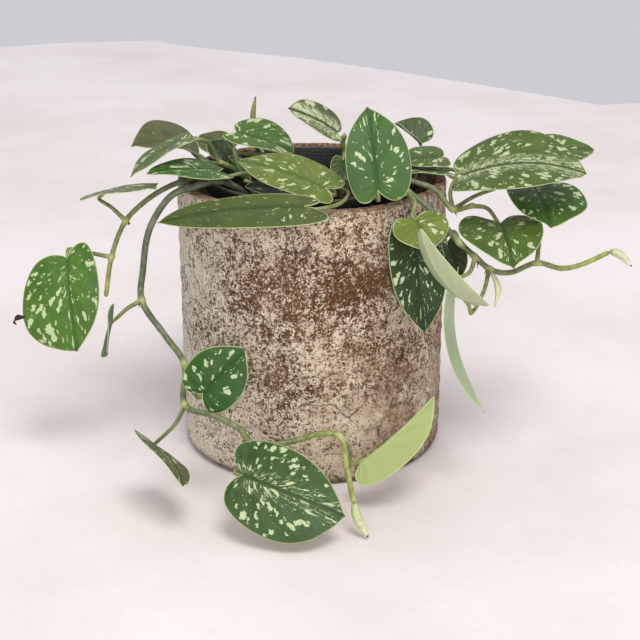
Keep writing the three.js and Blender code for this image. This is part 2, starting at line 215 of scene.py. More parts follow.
def leaf_point(leaf, frame_of, t, s, side, lift):
    """A point of the blade: t picks the vein, s is the way out along it, lift is off the middle."""
    notch, length, along, across, up = frame_of
    which = 0 if side > 0 else 1
    half = leaf["halves"][which]
    edge = outline_at(t)
    root = 0.04 * t + 0.96 * t ** 3.5
    u = root + (edge[0] + leaf["slants"][which] * edge[1] - root) * s
    out = edge[1] * s * half
    fold = math.radians(leaf["fold"])
    bend = math.radians(leaf["curl"]) / half
    y, z = out * math.cos(fold), out * math.sin(fold)
    if bend:
        y = (math.sin(fold + bend * out) - math.sin(fold)) / bend
        z = (math.cos(fold) - math.cos(fold + bend * out)) / bend
    z += 4 * leaf["bow"] * length * u * (1 - u)
    tilt = fold + bend * out if s > 0 else 0
    y -= math.sin(tilt) * lift
    z += math.cos(tilt) * lift
    return notch + along * u * length + across * side * y + up * z


print("half outline:", len(OUTLINE), "points")

# %% [markdown]
# ## Where the leaves are, and how each one is tinted
# Each row gives the notch, the tip, the way that the upper face looks, the two half widths, the
# fold, the arch and the curl, and for a lopsided leaf the slant of each half. Then come the tint
# of the upper face, of the underside, how much of the leaf is splashed with silver, and how far
# the splashes run together into streaks along the veins. Young leaves are yellow-green and old
# ones dark. The tints of leaves that lie in the shade of others are darkened: painted shade. The
# grey tints of leaves seen flat against the light are painted sheen.

# %% Leaf table
NO_SLANT = (0, 0)
PALE_BACK = (150, 168, 112)
LEAVES = {
    "leaf_left_outer_1": ((-106, -24, 143), (-76, -50, 152), (0, 0.02, 1), (17, 17), 6, 0.04, -20,
                          NO_SLANT, (92, 114, 84), PALE_BACK, 0.55, 0.3),
    "leaf_left_outer_2": ((-124, -36, 112), (-120, -46, 65), (-0.15, -0.95, 0.1), (26, 16), 6, 0.05,
                          -15, (0.25, -0.03), (72, 118, 42), PALE_BACK, 0.50, 0.15),
    "leaf_left_1": ((-99, -62, 88), (-98, -88, 80), (-1, -0.15, 0.2), (12, 12), 8, 0.03, 0,
                    NO_SLANT, (72, 98, 62), (104, 126, 92), 0.35, 0.1),
    "leaf_left_2": ((-53, -88, 60), (-32, -86, 83), (-0.2, -0.95, 0.2), (15, 15), 8, 0.03, -10,
                    NO_SLANT, (44, 90, 26), PALE_BACK, 0.42, 0.3),
    "leaf_left_3": ((-76, -88, 31), (-60, -126, 29), (0.68, 0.1, 0.7), (19, 11), 6, 0.05, -10,
                    NO_SLANT, (80, 104, 66), PALE_BACK, 0.45, 0.3),
    "leaf_left_4": ((-33, -116, 30), (16, -131, 16), (-0.03, -0.8, 0.6), (24, 20), 5, 0.03, 0,
                    (0.12, -0.02), (48, 84, 26), PALE_BACK, 0.50, 0.66),
    "leaf_left_5": ((24, -88, 22), (61, -76, 54), (0.67, -0.3, -0.6), (17, 17), 55, 0.03, 0,
                    NO_SLANT, (96, 130, 60), (176, 190, 122), 0.30, 0.1),
    # leaf_crown_left_1: its grey tints are painted sheen of a leaf seen flat against the light.
    "leaf_crown_left_1": ((-61, 10, 154), (-93, -6, 162), (-0.2, -0.3, 0.9), (21, 24), 20, 0.12, -10,
                          NO_SLANT, (88, 98, 74), (128, 140, 108), 0.12, 0.0),
    "leaf_crown_left_2": ((-63, -22, 170), (-90, -36, 154), (-0.5, -0.15, 0.85), (12, 12), 8, 0.06, -10,
                          NO_SLANT, (86, 112, 70), PALE_BACK, 0.50, 0.3),
    "leaf_crown_left_3": ((-46, 30, 152), (-62, 44, 156), (-0.2, -0.3, 0.9), (9, 10), 10, 0.05, -10,
                          NO_SLANT, (92, 102, 80), PALE_BACK, 0.20, 0.0),
    # leaf_crown_left_4 lies under the front leaves: its dark tint is painted shade.
    "leaf_crown_left_4": ((-44, 14, 152), (-56, 22, 158), (-0.1, -0.5, 0.85), (7, 7), 10, 0.05, -10,
                          NO_SLANT, (44, 62, 36), PALE_BACK, 0.25, 0.2),
    "leaf_front_1": ((-47, -28, 155), (-81, -44, 158), (0, -0.12, 1), (13, 16), 8, 0.05, -10,
                     NO_SLANT, (58, 104, 32), PALE_BACK, 0.50, 0.4),
    "leaf_front_2": ((-3, -75, 150.5), (-76, -51, 135), (-0.15, -0.6, 0.78), (8, 12), 8, 0.05, -15,
                     (0.12, -0.04), (76, 98, 56), PALE_BACK, 0.28, 0.0),
    # leaf_front_3 lies in the shade of the leaves above it: its dark tint is painted shade.
    "leaf_front_3": ((-9, -33, 146), (-34, -27, 147), (0, -0.3, 0.95), (8, 9), 8, 0.03, 0,
                     NO_SLANT, (38, 58, 44), PALE_BACK, 0.35, 0.0),
    "leaf_mid_1": ((-39, 4, 167), (-9, -8, 159), (0, -0.25, 0.97), (13, 16), 12, 0.05, -10,
                   NO_SLANT, (74, 112, 52), PALE_BACK, 0.55, 0.3),
    "leaf_mid_2": ((7, -54, 153.5), (-37, -30, 161), (-0.1, -0.4, 0.9), (13, 13), 8, 0.05, -10,
                   NO_SLANT, (100, 126, 66), PALE_BACK, 0.42, 0.62),
    "leaf_back_1": ((13, -4, 169), (-12, -14, 184), (-0.3, -0.5, 0.8), (13, 9), 8, 0.05, -10,
                    (0.05, 0.1), (84, 102, 72), PALE_BACK, 0.75, 0.8),
    "leaf_back_2": ((16, -12, 157), (14, -22, 147), (0, -0.8, 0.5), (6, 6), 8, 0.05, -10,
                    NO_SLANT, (58, 84, 44), PALE_BACK, 0.35, 0.2),
    "leaf_right_crown_1": ((32, -62, 154.5), (27, -40, 190.5), (0, -0.85, 0.52), (17.5, 14), 8, 0.03,
                           -10, NO_SLANT, (54, 98, 32), PALE_BACK, 0.42, 0.2),
    "leaf_right_crown_2": ((58, 22, 157), (44, 30, 166), (0.3, -0.3, 0.9), (12, 12), 35, 0.05, 0,
                           NO_SLANT, (66, 94, 56), (150, 152, 112), 0.30, 0.0),
    "leaf_right_crown_3": ((67, -4, 156), (46, -10, 155), (0, -0.3, 0.95), (11, 11), 8, 0.05, -10,
                           NO_SLANT, (80, 106, 60), PALE_BACK, 0.45, 0.4),
    "leaf_right_crown_4": ((69.5, -12, 150), (49, -18, 151.5), (0, 0, 1), (8, 7), 8, 0.04, -10,
                           NO_SLANT, (74, 98, 58), PALE_BACK, 0.40, 0.2),
    "leaf_right_upper_1": ((75, -36, 155), (135, -44, 158), (0, -0.33, 0.94), (22, 27), 8, 0.11, -10,
                           (0.1, 0.12), (78, 106, 50), PALE_BACK, 0.60, 0.75),
    "leaf_right_upper_2": ((117, -2, 156), (148, 8, 157), (0, -0.35, 0.93), (13, 15), 8, 0.05, -10,
                           NO_SLANT, (76, 108, 48), PALE_BACK, 0.45, 0.3),
    "leaf_right_upper_3": ((94, -42, 132), (97, -76, 120), (0, -0.5, 0.85), (23, 19), 15, 0.05, -10,
                           NO_SLANT, (76, 108, 50), PALE_BACK, 0.50, 0.6),
    "leaf_right_1": ((112, -24, 146), (117, -56, 134), (0.1, -0.4, 0.9), (16, 24), 6, 0.05, -10,
                     (0, 0.08), (56, 96, 26), PALE_BACK, 0.48, 0.35),
    "leaf_right_0": ((50, -68, 142), (57, -80, 130), (0.1, -0.6, 0.8), (14, 14), 8, 0.05, -10,
                     NO_SLANT, (100, 126, 44), (168, 182, 110), 0.40, 0.2),
    "leaf_right_2": ((49, -65, 134), (55, -77, 87), (0.2, -0.95, 0.1), (14, 14), 8, 0.04, -10,
                     NO_SLANT, (32, 62, 20), PALE_BACK, 0.50, 0.5),
    "leaf_right_3": ((75, -91, 108), (50, -99, 148), (0.6, 0.65, 0.45), (13, 9), 10, -0.12, 25,
                     NO_SLANT, (150, 176, 100), (182, 192, 150), 0.20, 0.0),
    "leaf_right_4": ((70, -66, 107), (87, -72, 42), (-0.9, 0.35, -0.2), (8, 8), 10, 0.1, 20,
                     NO_SLANT, (70, 100, 58), (158, 176, 138), 0.25, 0.2),
    "leaf_right_5": ((67, -50, 124), (74, -56, 108), (-0.2, -0.9, 0.3), (8, 8), 8, 0.03, 0,
                     NO_SLANT, (40, 62, 26), PALE_BACK, 0.15, 0.0),
    "leaf_back_left_1": ((-56, 72, 136), (-60, 96, 112), (-0.3, 0.6, 0.7), (15, 14), 8, 0.05, -10,
                         NO_SLANT, (64, 98, 40), PALE_BACK, 0.50, 0.3),
    "leaf_back_left_2": ((-46, 86, 112), (-36, 93, 76), (0, 1, 0.1), (15, 15), 8, 0.04, -10,
                         NO_SLANT, (48, 84, 32), PALE_BACK, 0.45, 0.5),
    "leaf_back_left_3": ((-60, 86, 84), (-62, 93, 50), (-0.3, 0.9, 0.1), (12, 13), 8, 0.04, -10,
                         NO_SLANT, (70, 108, 44), PALE_BACK, 0.48, 0.2),
    "leaf_back_left_4": ((-33, 91, 45), (-24, 97, 12), (0, 0.95, 0.3), (14, 14), 8, 0.04, -10,
                         NO_SLANT, (54, 94, 32), PALE_BACK, 0.52, 0.6),
    "leaf_back_right_1": ((34, 78, 137), (14, 100, 126), (-0.2, 0.45, 0.87), (18, 17), 8, 0.06, -10,
                          NO_SLANT, (72, 104, 48), PALE_BACK, 0.55, 0.6),
    "leaf_back_right_2": ((61, 84, 110), (67, 92, 74), (0.4, 0.9, 0.1), (15, 14), 8, 0.04, -10,
                          NO_SLANT, (50, 88, 34), PALE_BACK, 0.45, 0.3),
    "leaf_back_right_3": ((38, 90, 84), (28, 96, 50), (-0.1, 0.97, 0.1), (15, 15), 8, 0.04, -10,
                          NO_SLANT, (44, 78, 28), PALE_BACK, 0.50, 0.4),
    "leaf_back_right_4": ((49, 97, 56), (60, 104, 26), (0.2, 0.95, 0.2), (13, 13), 8, 0.04, -10,
                          NO_SLANT, (68, 106, 40), PALE_BACK, 0.45, 0.5),
}


def leaf_row(name):
    """A row of the leaf table as a dictionary."""
    row = LEAVES[name]
    keys = ("halves", "fold", "bow", "curl", "slants", "tint", "back", "splash", "streak")
    return {"name": name, "place": row[:3], **dict(zip(keys, row[3:]))}


print("leaves:", len(LEAVES))

# %% [markdown]
# ## Leaf blades
# A real blade is thinner than a millimetre, thickest at the midrib, which is a groove above and a
# ridge below. Between the side veins it swells a little, and its margin waves. These are small,
# but they are what makes light run over a leaf unevenly, so they are in the mesh. The blade also
# keeps, on every point, what its finish needs: how far it is from the margin, the midrib and the
# tip, which face it is on, the leaf's tints, and a UV map that runs across and along the veins.

# %% Leaf blade mesh
VEIN_ROWS = 52
VEIN_STEPS = (0, 0.03, 0.07, 0.13, 0.21, 0.31, 0.42, 0.53, 0.64, 0.74, 0.83, 0.9, 0.95, 0.98, 1)
RIB_HALF_THICKNESS = 0.5
MARGIN_HALF_THICKNESS = 0.16
WARMER = {"tint": (0.99, 0.93, 0.70), "back": (0.94, 0.94, 0.94)}   # against the cool wall
dice = random.Random(11)


def blade_lift(leaf, t, s, side, face):
    """How far a point of the upper (1) or lower (-1) surface is off the middle of the blade."""
    edge_width = outline_at(t)[1] * s * leaf["halves"][0 if side > 0 else 1]
    groove = math.exp(-(edge_width / 1.1) ** 2)
    half = MARGIN_HALF_THICKNESS + (RIB_HALF_THICKNESS - MARGIN_HALF_THICKNESS) * (1 - s) ** 0.7
    quilt = 0.16 * math.sin(2 * math.pi * 8 * t + side) * math.sin(math.pi * s)
    wave = leaf["wave"] * s ** 3 * math.sin(2 * math.pi * (2.6 * t + leaf["phase"] + 0.3 * side))
    ends = math.sin(math.pi * min(max(t, 0), 1)) ** 0.5
    return (quilt + wave) * ends - 0.35 * groove * ends + face * half * (0.4 + 0.6 * ends)


def nearest(points, line):
    """How far each point is from a line of points."""
    a, b = line[:-1], line[1:]
    ab = b - a
    span = np.maximum((ab * ab).sum(1), 1e-9)
    best = np.full(len(points), 1e9)
    for start, step, size in zip(a, ab, span):
        w = np.clip((points - start) @ step / size, 0, 1)
        best = np.minimum(best, np.linalg.norm(points - start - w[:, None] * step, axis=1))
    return best


def blade(name):
    """The blade of one leaf, with its attributes and its vein map."""
    leaf = leaf_row(name)
    leaf["phase"] = dice.random()
    leaf["wave"] = min(0.9, sum(leaf["halves"]) / 50)
    frame_of = leaf_frame(leaf)
    rows = [i / VEIN_ROWS for i in range(1, VEIN_ROWS)]
    last = len(VEIN_STEPS) - 1
    points, upper, veins, faces = [], [], [], []

    def point(t, s, side, face, across_veins=0.0, out=0.0):
        points.append(leaf_point(leaf, frame_of, t, s, side, blade_lift(leaf, t, s, side, face)))
        upper.append(1.0 if face >= 0 else 0.0)
        veins.append((across_veins, out * side))
        return len(points) - 1

    middle = {}
    for side in (1, -1):
        centres = [leaf_point(leaf, frame_of, t, 0.6, side, 0) for t in [0] + rows + [1]]
        gaps = np.linalg.norm(np.diff(np.array(centres), axis=0), axis=1)
        middle[side] = np.concatenate([[0], np.cumsum(gaps)])
    notch, tip = point(0, 0, 1, 0), point(1, 0, 1, 0, middle[1][-1])
    ribs = {face: [point(t, 0, 1, face, middle[1][i + 1]) for i, t in enumerate(rows)]
            for face in (1, -1)}
    margins = []
    for side in (1, -1):
        reach = [np.linalg.norm(leaf_point(leaf, frame_of, t, 1, side, 0)
                                - leaf_point(leaf, frame_of, t, 0, side, 0)) for t in rows]
        ring = [point(t, 1, side, 0, middle[side][i + 1], reach[i]) for i, t in enumerate(rows)]
        margins.append(np.array([points[notch]] + [points[k] for k in ring] + [points[tip]]))
        for face in (1, -1):
            columns = [ribs[face]] + [
                [point(t, s, side, face, middle[side][i + 1], reach[i] * s)
                 for i, t in enumerate(rows)] for s in VEIN_STEPS[1:last]] + [ring]
            columns = [[notch] + column + [tip] for column in columns]
            for near, far in zip(columns, columns[1:]):
                for r in range(VEIN_ROWS):
                    corners = list(dict.fromkeys([near[r], near[r + 1], far[r + 1], far[r]]))
                    faces.append(corners[::-1] if side * face > 0 else corners)
    place = np.array(points)
    thing = new_mesh(name + "_blade", place * MM, faces)
    rib_line = np.array([points[notch]] + [points[k] for k in ribs[1]] + [points[tip]])
    values = {
        "margin_mm": np.minimum(nearest(place, margins[0]), nearest(place, margins[1])),
        "midrib_mm": nearest(place, rib_line),
        "tip_mm": np.linalg.norm(place - place[tip], axis=1),
        "upper": upper,
        "splash": [leaf["splash"]] * len(place),
        "streak": [leaf["streak"]] * len(place),
    }
    for key, numbers in values.items():
        thing.data.attributes.new(key, "FLOAT", "POINT").data.foreach_set("value", numbers)
    for key in ("tint", "back"):
        colors = thing.data.attributes.new(key, "FLOAT_COLOR", "POINT")
        r, g, b = leaf[key]
        red, green, blue = WARMER[key]
        warm = srgb(r * red, g * green, b * blue)
        colors.data.foreach_set("color", np.tile(warm, len(place)))
    shift = (dice.random() * 0.9, dice.random() * 0.9)
    uv = thing.data.uv_layers.new(name="veins")
    corner_points = np.zeros(len(thing.data.loops), int)
    thing.data.loops.foreach_get("vertex_index", corner_points)
    uv.data.foreach_set("uv", (np.array(veins)[corner_points] * 0.01 + shift).ravel())
    return thing


blades = {name: blade(name) for name in LEAVES}
print("blades:", len(blades), "with", len(blades["leaf_left_4"].data.polygons), "faces each")

# %% [markdown]
# ## Leaf finish
# The silver of this plant is not paint: small blisters of air under the skin scatter the light.
# They form irregular spots, longer along the veins, that gather beside the midrib and thin out
# into dots near the margin. So the finish reads the vein map: one layer of cells gives the big
# splashes, a finer one the dots, and noise stretched along the veins gives the streaks. A thin
# pale line follows every margin, the tip is dry and brown, and the underside is plain pale green.

# %% Leaf finish
MAP_MM = 100      # millimetres in one unit of the vein map
sh = Shader("satin_leaf", 0.46, Specular_IOR_Level=0.34, Sheen_Weight=0.05, Sheen_Roughness=0.45)
vein_map = sh.node("UVMap", uv_map="veins").outputs["UV"]
here = sh.objects_place()
ragged = sh.node("TexNoise", {"Vector": here, "Scale": 480.0, "Detail": 3.0,
                              "Roughness": 0.6}).outputs["Color"]
ragged = sh.vector("SUBTRACT", ragged, (0.5, 0.5, 0.5))
ragged_map = sh.vector("MULTIPLY_ADD", ragged, (0.042, 0.052, 0), vein_map)


def splash_layer(size_across, size_along, bare, fullness):
    """Spots of cells that are longer along a vein. bare is the share of cells with no spot."""
    stretched = sh.vector("MULTIPLY", ragged_map, (MAP_MM / size_across, MAP_MM / size_along, 1))
    found = sh.cells(stretched, 1.0)
    chance = sh.node("SeparateColor", {0: found.outputs["Color"]}).outputs[0]
    size = sh.math("MULTIPLY", sh.math("SUBTRACT", chance, bare), fullness)
    size = sh.math("MULTIPLY", size, sh.math("MULTIPLY", sh.attribute("splash"), 2.0))
    inside = sh.math("SUBTRACT", size, found.outputs["Distance"])
    return sh.step(inside, -0.02, 0.05)


from_rib = sh.attribute("midrib_mm")
from_margin = sh.attribute("margin_mm")
big = splash_layer(3.1, 4.9, 0.42, 1.12)
small = splash_layer(1.5, 2.2, 0.62, 1.15)
stretched = sh.vector("MULTIPLY", ragged_map, (110.0, 26.0, 1.0))
streaks = sh.noise(stretched, 1.0, 3, 0.55)
beside_rib = sh.math("MULTIPLY", sh.step(from_rib, 0.4, 1.4), sh.step(from_rib, 9.0, 3.0))
streaks = sh.step(sh.math("MULTIPLY", streaks, sh.attribute("streak")), 0.36, 0.42)
streaks = sh.math("MULTIPLY", streaks, beside_rib)
clear_of_rib = sh.step(from_rib, 0.5, 1.3)
clear_of_margin = sh.step(from_margin, 0.5, 1.0)
silver = sh.math("MAXIMUM", sh.math("MAXIMUM", big, small), streaks)
silver = sh.math("MULTIPLY", silver, sh.math("MULTIPLY", clear_of_rib, clear_of_margin))

tint = sh.attribute("tint", "Color")
mottle = sh.noise(here, 90.0, 4, 0.6)
green = sh.mix(sh.step(mottle, 0.3, 0.7), sh.mix(1.0, tint, (0.74, 0.78, 0.72, 1), "MULTIPLY"),
               sh.mix(1.0, tint, (1.12, 1.10, 1.05, 1), "MULTIPLY"))
vein_lines = sh.noise(sh.vector("MULTIPLY", vein_map, (60.0, 4.0, 1.0)), 1.0, 2, 0.5)
green = sh.mix(sh.math("MULTIPLY", sh.step(vein_lines, 0.46, 0.62), 0.25), green,
               sh.mix(1.0, tint, (0.62, 0.70, 0.60, 1), "MULTIPLY"))
dark_rib = sh.mix(1.0, tint, (0.50, 0.62, 0.45, 1), "MULTIPLY")
green = sh.mix(sh.math("MULTIPLY", sh.step(from_rib, 2.2, 0.3), 0.75), green, dark_rib)
silver_color = sh.mix(0.22, srgb(204, 216, 168), tint)
upper_color = sh.mix(sh.math("MULTIPLY", silver, 0.92), green, silver_color)

back = sh.attribute("back", "Color")
back_color = sh.mix(sh.math("MULTIPLY", sh.step(vein_lines, 0.42, 0.64), 0.18), back,
                    sh.mix(1.0, back, (0.78, 0.84, 0.70, 1), "MULTIPLY"))
back_color = sh.mix(sh.math("MULTIPLY", sh.step(from_rib, 1.2, 0.2), 0.5), back_color,
                    srgb(188, 198, 150))
leaf_color = sh.mix(sh.attribute("upper"), back_color, upper_color)
leaf_color = sh.mix(sh.math("MULTIPLY", sh.step(from_margin, 0.50, 0.22), 0.85), leaf_color,
                    srgb(196, 208, 146))
leaf_color = sh.mix(sh.step(sh.attribute("tip_mm"), 1.7, 0.5), leaf_color, srgb(104, 68, 44))
pores = sh.noise(here, 2600.0, 2, 0.6)
relief = sh.bump(sh.noise(here, 700.0, 3, 0.6), 0.00025)
relief = sh.bump(silver, 0.00008, relief)
relief = sh.bump(vein_lines, 0.00016, relief)
relief = sh.bump(pores, 0.00005, relief)
leaf_roughness = sh.math("ADD", sh.math("MULTIPLY", silver, 0.10),
                         sh.math("MULTIPLY_ADD", mottle, 0.16, 0.36))
leaf_material = sh.finish(leaf_color, leaf_roughness, relief)
for thing in blades.values():
    thing.data.materials.append(leaf_material)
print("finish:", leaf_material.name, len(sh.nodes), "nodes")

# %% Leaves into the frame
for name, thing in blades.items():
    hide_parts(name)
    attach(thing, "root")

# %% [markdown]
# ## Vines: the paths
# A vine is a round stem, about three millimetres thick, that is a little swollen at each node,
# where a leaf stalk leaves it. Each path is one smooth curve through a few points, and a stalk is
# a thinner curve from a node to just behind a leaf's notch, ending in its midrib.

# %% Vine table
VINES = {
    "vine_left_outer": (1.5, [
        (-34, -8, 128), (-37, -10, 138), (-44, -15, 147), (-50, -20, 151), (-63, -28, 150.5),
        (-72, -32, 148), (-82, -33, 142), (-94, -31, 130), (-102, -32, 111), (-105, -36, 93)], [
        (7, "leaf_left_outer_1", (-101, -28, 136)), (8, "leaf_left_outer_2", (-114, -33, 114))]),
    "vine_left": (1.7, [
        (-30, -20, 128), (-32, -23, 139), (-38, -29, 147), (-46, -36, 152), (-60, -41, 150),
        (-69, -44, 147), (-80, -47, 131), (-84, -50, 110), (-85, -52, 95), (-73, -60, 79),
        (-63, -70, 68), (-62, -84, 52), (-46, -95, 51), (-34, -100, 46), (-29, -101, 39),
        (-20, -100, 38), (-7, -99, 40), (4, -100, 44), (14, -103, 44), (17, -111, 31),
        (20, -118, 18)], [
        (8, "leaf_left_1", (-92, -56, 92)), (10, "leaf_left_2", (-60, -80, 62)),
        (11, "leaf_left_3", (-67, -84, 42)), (14, "leaf_left_4", (-33, -107, 33)),
        (18, "leaf_left_5", (19, -97, 33))]),
    "vine_right": (1.6, [
        (28, -31, 128), (30, -33, 138), (32, -36, 147.5), (38, -42, 151.5), (47, -51, 150.5),
        (54, -56, 147), (62, -58, 139), (72, -60, 128), (80, -62, 121), (87, -62, 115),
        (99, -50, 109), (114, -38, 110), (128, -32, 105), (139, -28, 106), (151, -26, 111)], [
        (4, "leaf_right_0", (50, -61, 148)), (6, "leaf_right_2", (55, -58, 141)),
        (7, "leaf_right_5", (70, -49, 130)), (9, "leaf_right_3", (83, -76, 108)),
        (8, "leaf_right_4", (77, -65, 114)), (11, "leaf_right_1", (116, -26, 128))]),
    "vine_right_upper": (1.5, [
        (33, -24, 128), (34, -25, 138), (38, -28, 146), (46, -33, 151.5), (55, -36, 150.5),
        (61, -38, 148.5), (66, -41, 143.5), (70, -43, 139.5), (80, -38, 140)], [
        (7, "leaf_right_upper_1", (69, -37, 147)), (8, "leaf_right_upper_3", (88, -36, 138)),
        (7, "leaf_right_upper_2", (82, -31, 143), (95, -24, 146), (108, -10, 150))]),
    "vine_crown_left": (1.5, [
        (-30, 0, 128), (-32, 0, 140), (-38, -1, 148), (-48, -5, 154)], [
        (2, "leaf_crown_left_1", (-48, 5, 150)), (3, "leaf_crown_left_2", (-53, -12, 166)),
        (1, "leaf_crown_left_3", (-36, 20, 147)), (1, "leaf_crown_left_4", (-36, 8, 146))]),
    "vine_front": (1.4, [
        (-16, -12, 128), (-17, -16, 139), (-21, -20, 147)], [
        (2, "leaf_front_1", (-33, -24, 153)), (1, "leaf_front_3", (-9, -24, 142)),
        (1, None, (-27, -16.5, 144), (-34.5, -18, 147.6))]),
    "vine_mid": (1.5, [
        (-4, 2, 128), (-6, 2, 140), (-10, 2, 150), (-14, 3, 158)], [
        (3, "leaf_mid_1", (-28, 6, 155), (-42, 8, 157)),
        (2, "leaf_mid_2", (6, -20, 150), (11, -42, 149.6)),
        (1, "leaf_front_2", (10, -28, 147), (18, -48, 149.6), (13, -68, 149.6))]),
    "vine_back": (1.4, [
        (18, 10, 128), (18, 9, 142), (17, 6, 154), (16, 2, 163)], [
        (3, "leaf_back_1", (17, -1, 167)), (2, "leaf_back_2", (17, -4, 158))]),
    "vine_right_crown": (1.5, [
        (34, 2, 128), (36, 0, 142), (40, -2, 150), (46, -2, 155)], [
        (1, "leaf_right_crown_1", (26, -24, 147), (26, -44, 150.5), (31, -57, 150)),
        (3, "leaf_right_crown_2", (54, 12, 155)),
        (3, "leaf_right_crown_3", (58, 5, 152.5), (69, 3, 153.5)),
        (2, "leaf_right_crown_4", (54, 0, 149.8), (66, 0, 149.5), (75, -6, 149))]),
    "vine_back_left": (1.5, [
        (-20, 30, 128), (-23, 34, 139), (-28, 40, 147), (-33, 46, 151.8), (-44, 57, 150),
        (-50, 64, 142), (-54, 73, 118), (-53, 78, 94), (-46, 82, 72), (-38, 86, 54)], [
        (5, "leaf_back_left_1", (-54, 67, 139)), (6, "leaf_back_left_2", (-50, 82, 115)),
        (7, "leaf_back_left_3", (-58, 82, 88)), (9, "leaf_back_left_4", (-35, 89, 49)),
        (2, None, (-30, 33, 152), (-31, 26, 158), (-30.5, 24, 162))]),
    "vine_back_right": (1.5, [
        (16, 34, 128), (19, 37, 139), (24, 42, 147), (30, 48, 151), (38, 60, 150),
        (44, 68, 140), (52, 76, 116), (50, 81, 90), (42, 86, 68)], [
        (5, "leaf_back_right_1", (40, 74, 138)), (6, "leaf_back_right_2", (58, 80, 114)),
        (7, "leaf_back_right_3", (44, 87, 87)), (8, "leaf_back_right_4", (43, 91, 63))]),
}
print("vines:", len(VINES), "with", sum(len(v[2]) for v in VINES.values()), "stalks")

# %% [markdown]
# ## Vines: smooth curves
# The curve is a centripetal Catmull-Rom spline: it passes through every point and never loops
# between two that are close. Each stem keeps, on its points, its thickness, how near the next
# node is, and how young it is, because a vine turns from olive green to yellow at its growing end.

# %% Curves of stems and stalks
CURVE_STEP = 1.6


def smooth_path(points):
    """Points about CURVE_STEP apart on the curve, and their places on it from 0 to 1."""
    p = [np.array(q, float) for q in points]
    p = [2 * p[0] - p[1]] + p + [2 * p[-1] - p[-2]]
    path, places = [], []
    spans = len(points) - 1
    for i in range(spans):
        a, b, c, d = p[i:i + 4]
        ka, kb, kc = (max(np.linalg.norm(y - x), 1e-6) ** 0.5 for x, y in ((a, b), (b, c), (c, d)))
        start = ((b - a) / ka - (c - a) / (ka + kb) + (c - b) / kb) * kb
        end = ((c - b) / kb - (d - b) / (kb + kc) + (d - c) / kc) * kb
        parts = max(2, round(np.linalg.norm(c - b) / CURVE_STEP))
        for k in range(parts + (i == spans - 1)):
            w = k / parts
            path.append(b + start * w + (3 * (c - b) - 2 * start - end) * w ** 2
                        + (2 * (b - c) + start + end) * w ** 3)
            places.append((i + w) / spans)
    return np.array(path), np.array(places)


def stalk_points(name):
    """The end of a leaf's stalk: behind the notch, at it, and run out along the midrib."""
    notch, length, along, across, up = leaf_frame(leaf_row(name))
    reach = min(4, length / 6)
    into = 0.08 * length
    arch = 4 * leaf_row(name)["bow"] * length * 0.08 * 0.92
    return [notch - along * reach - up * 0.75 * reach, notch - along - up * 1.5,
            notch + along * into + up * (arch - 0.75)]


def vine_strands(name):
    """Every strand of a vine: its points, thickness, nearness to a node, and youth."""
    radius, stem, branches = VINES[name]
    path, places = smooth_path(stem)
    node_points = np.array([stem[row[0]] for row in branches], float)
    away = np.array([np.linalg.norm(node_points - q, axis=1).min() for q in path])
    knot = np.exp(-(away / 1.9) ** 2)
    rough = np.array([0.03 * math.sin(q[0] * 0.9 + q[1] * 1.3 + q[2]) for q in path])
    thick = radius * (1.03 - 0.22 * places) * (1 + 0.30 * knot + rough)
    bud = path[-1] + np.outer((0.9, 1.6, 2.0), unit(path[-1] - path[-2]))
    strands = [(np.vstack([path, bud]), np.append(thick, thick[-1] * np.array((0.9, 0.6, 0.15))),
                np.append(knot, [0, 0, 0]), np.append(places ** 3, [1, 1, 1]))]
    for start, leaf, *via in branches:
        ends = stalk_points(leaf) if leaf else []
        path, places = smooth_path([stem[start], *via, *ends])
        run = np.concatenate([[0], np.cumsum(np.linalg.norm(np.diff(path, axis=0), axis=1))])
        thick = 0.95 * (1.10 - 0.18 * places) + 0.35 * np.exp(-run / 3.5)
        if leaf:
            to_end = run[-1] - run
            thick = thick * (0.35 + 0.65 * np.clip(to_end / 4.5, 0, 1))
        strands.append((path, thick, 0.8 * np.exp(-(run / 3) ** 2), 0.35 + 0.4 * places))
    return strands


strands_of = {name: vine_strands(name) for name in VINES}
print("longest stem:", max(len(s[0][0]) for s in strands_of.values()), "points")

# %% [markdown]
# ## Vines: a Geometry Nodes tree
# The tree takes a chain of edges, reads its thickness attribute, and sweeps a ring along it. A
# ring that follows a path is just what a stem is, and the tree carries the attributes over to the
# surface, where the finish reads them. The small `Tree` helper builds any such tree in few calls.

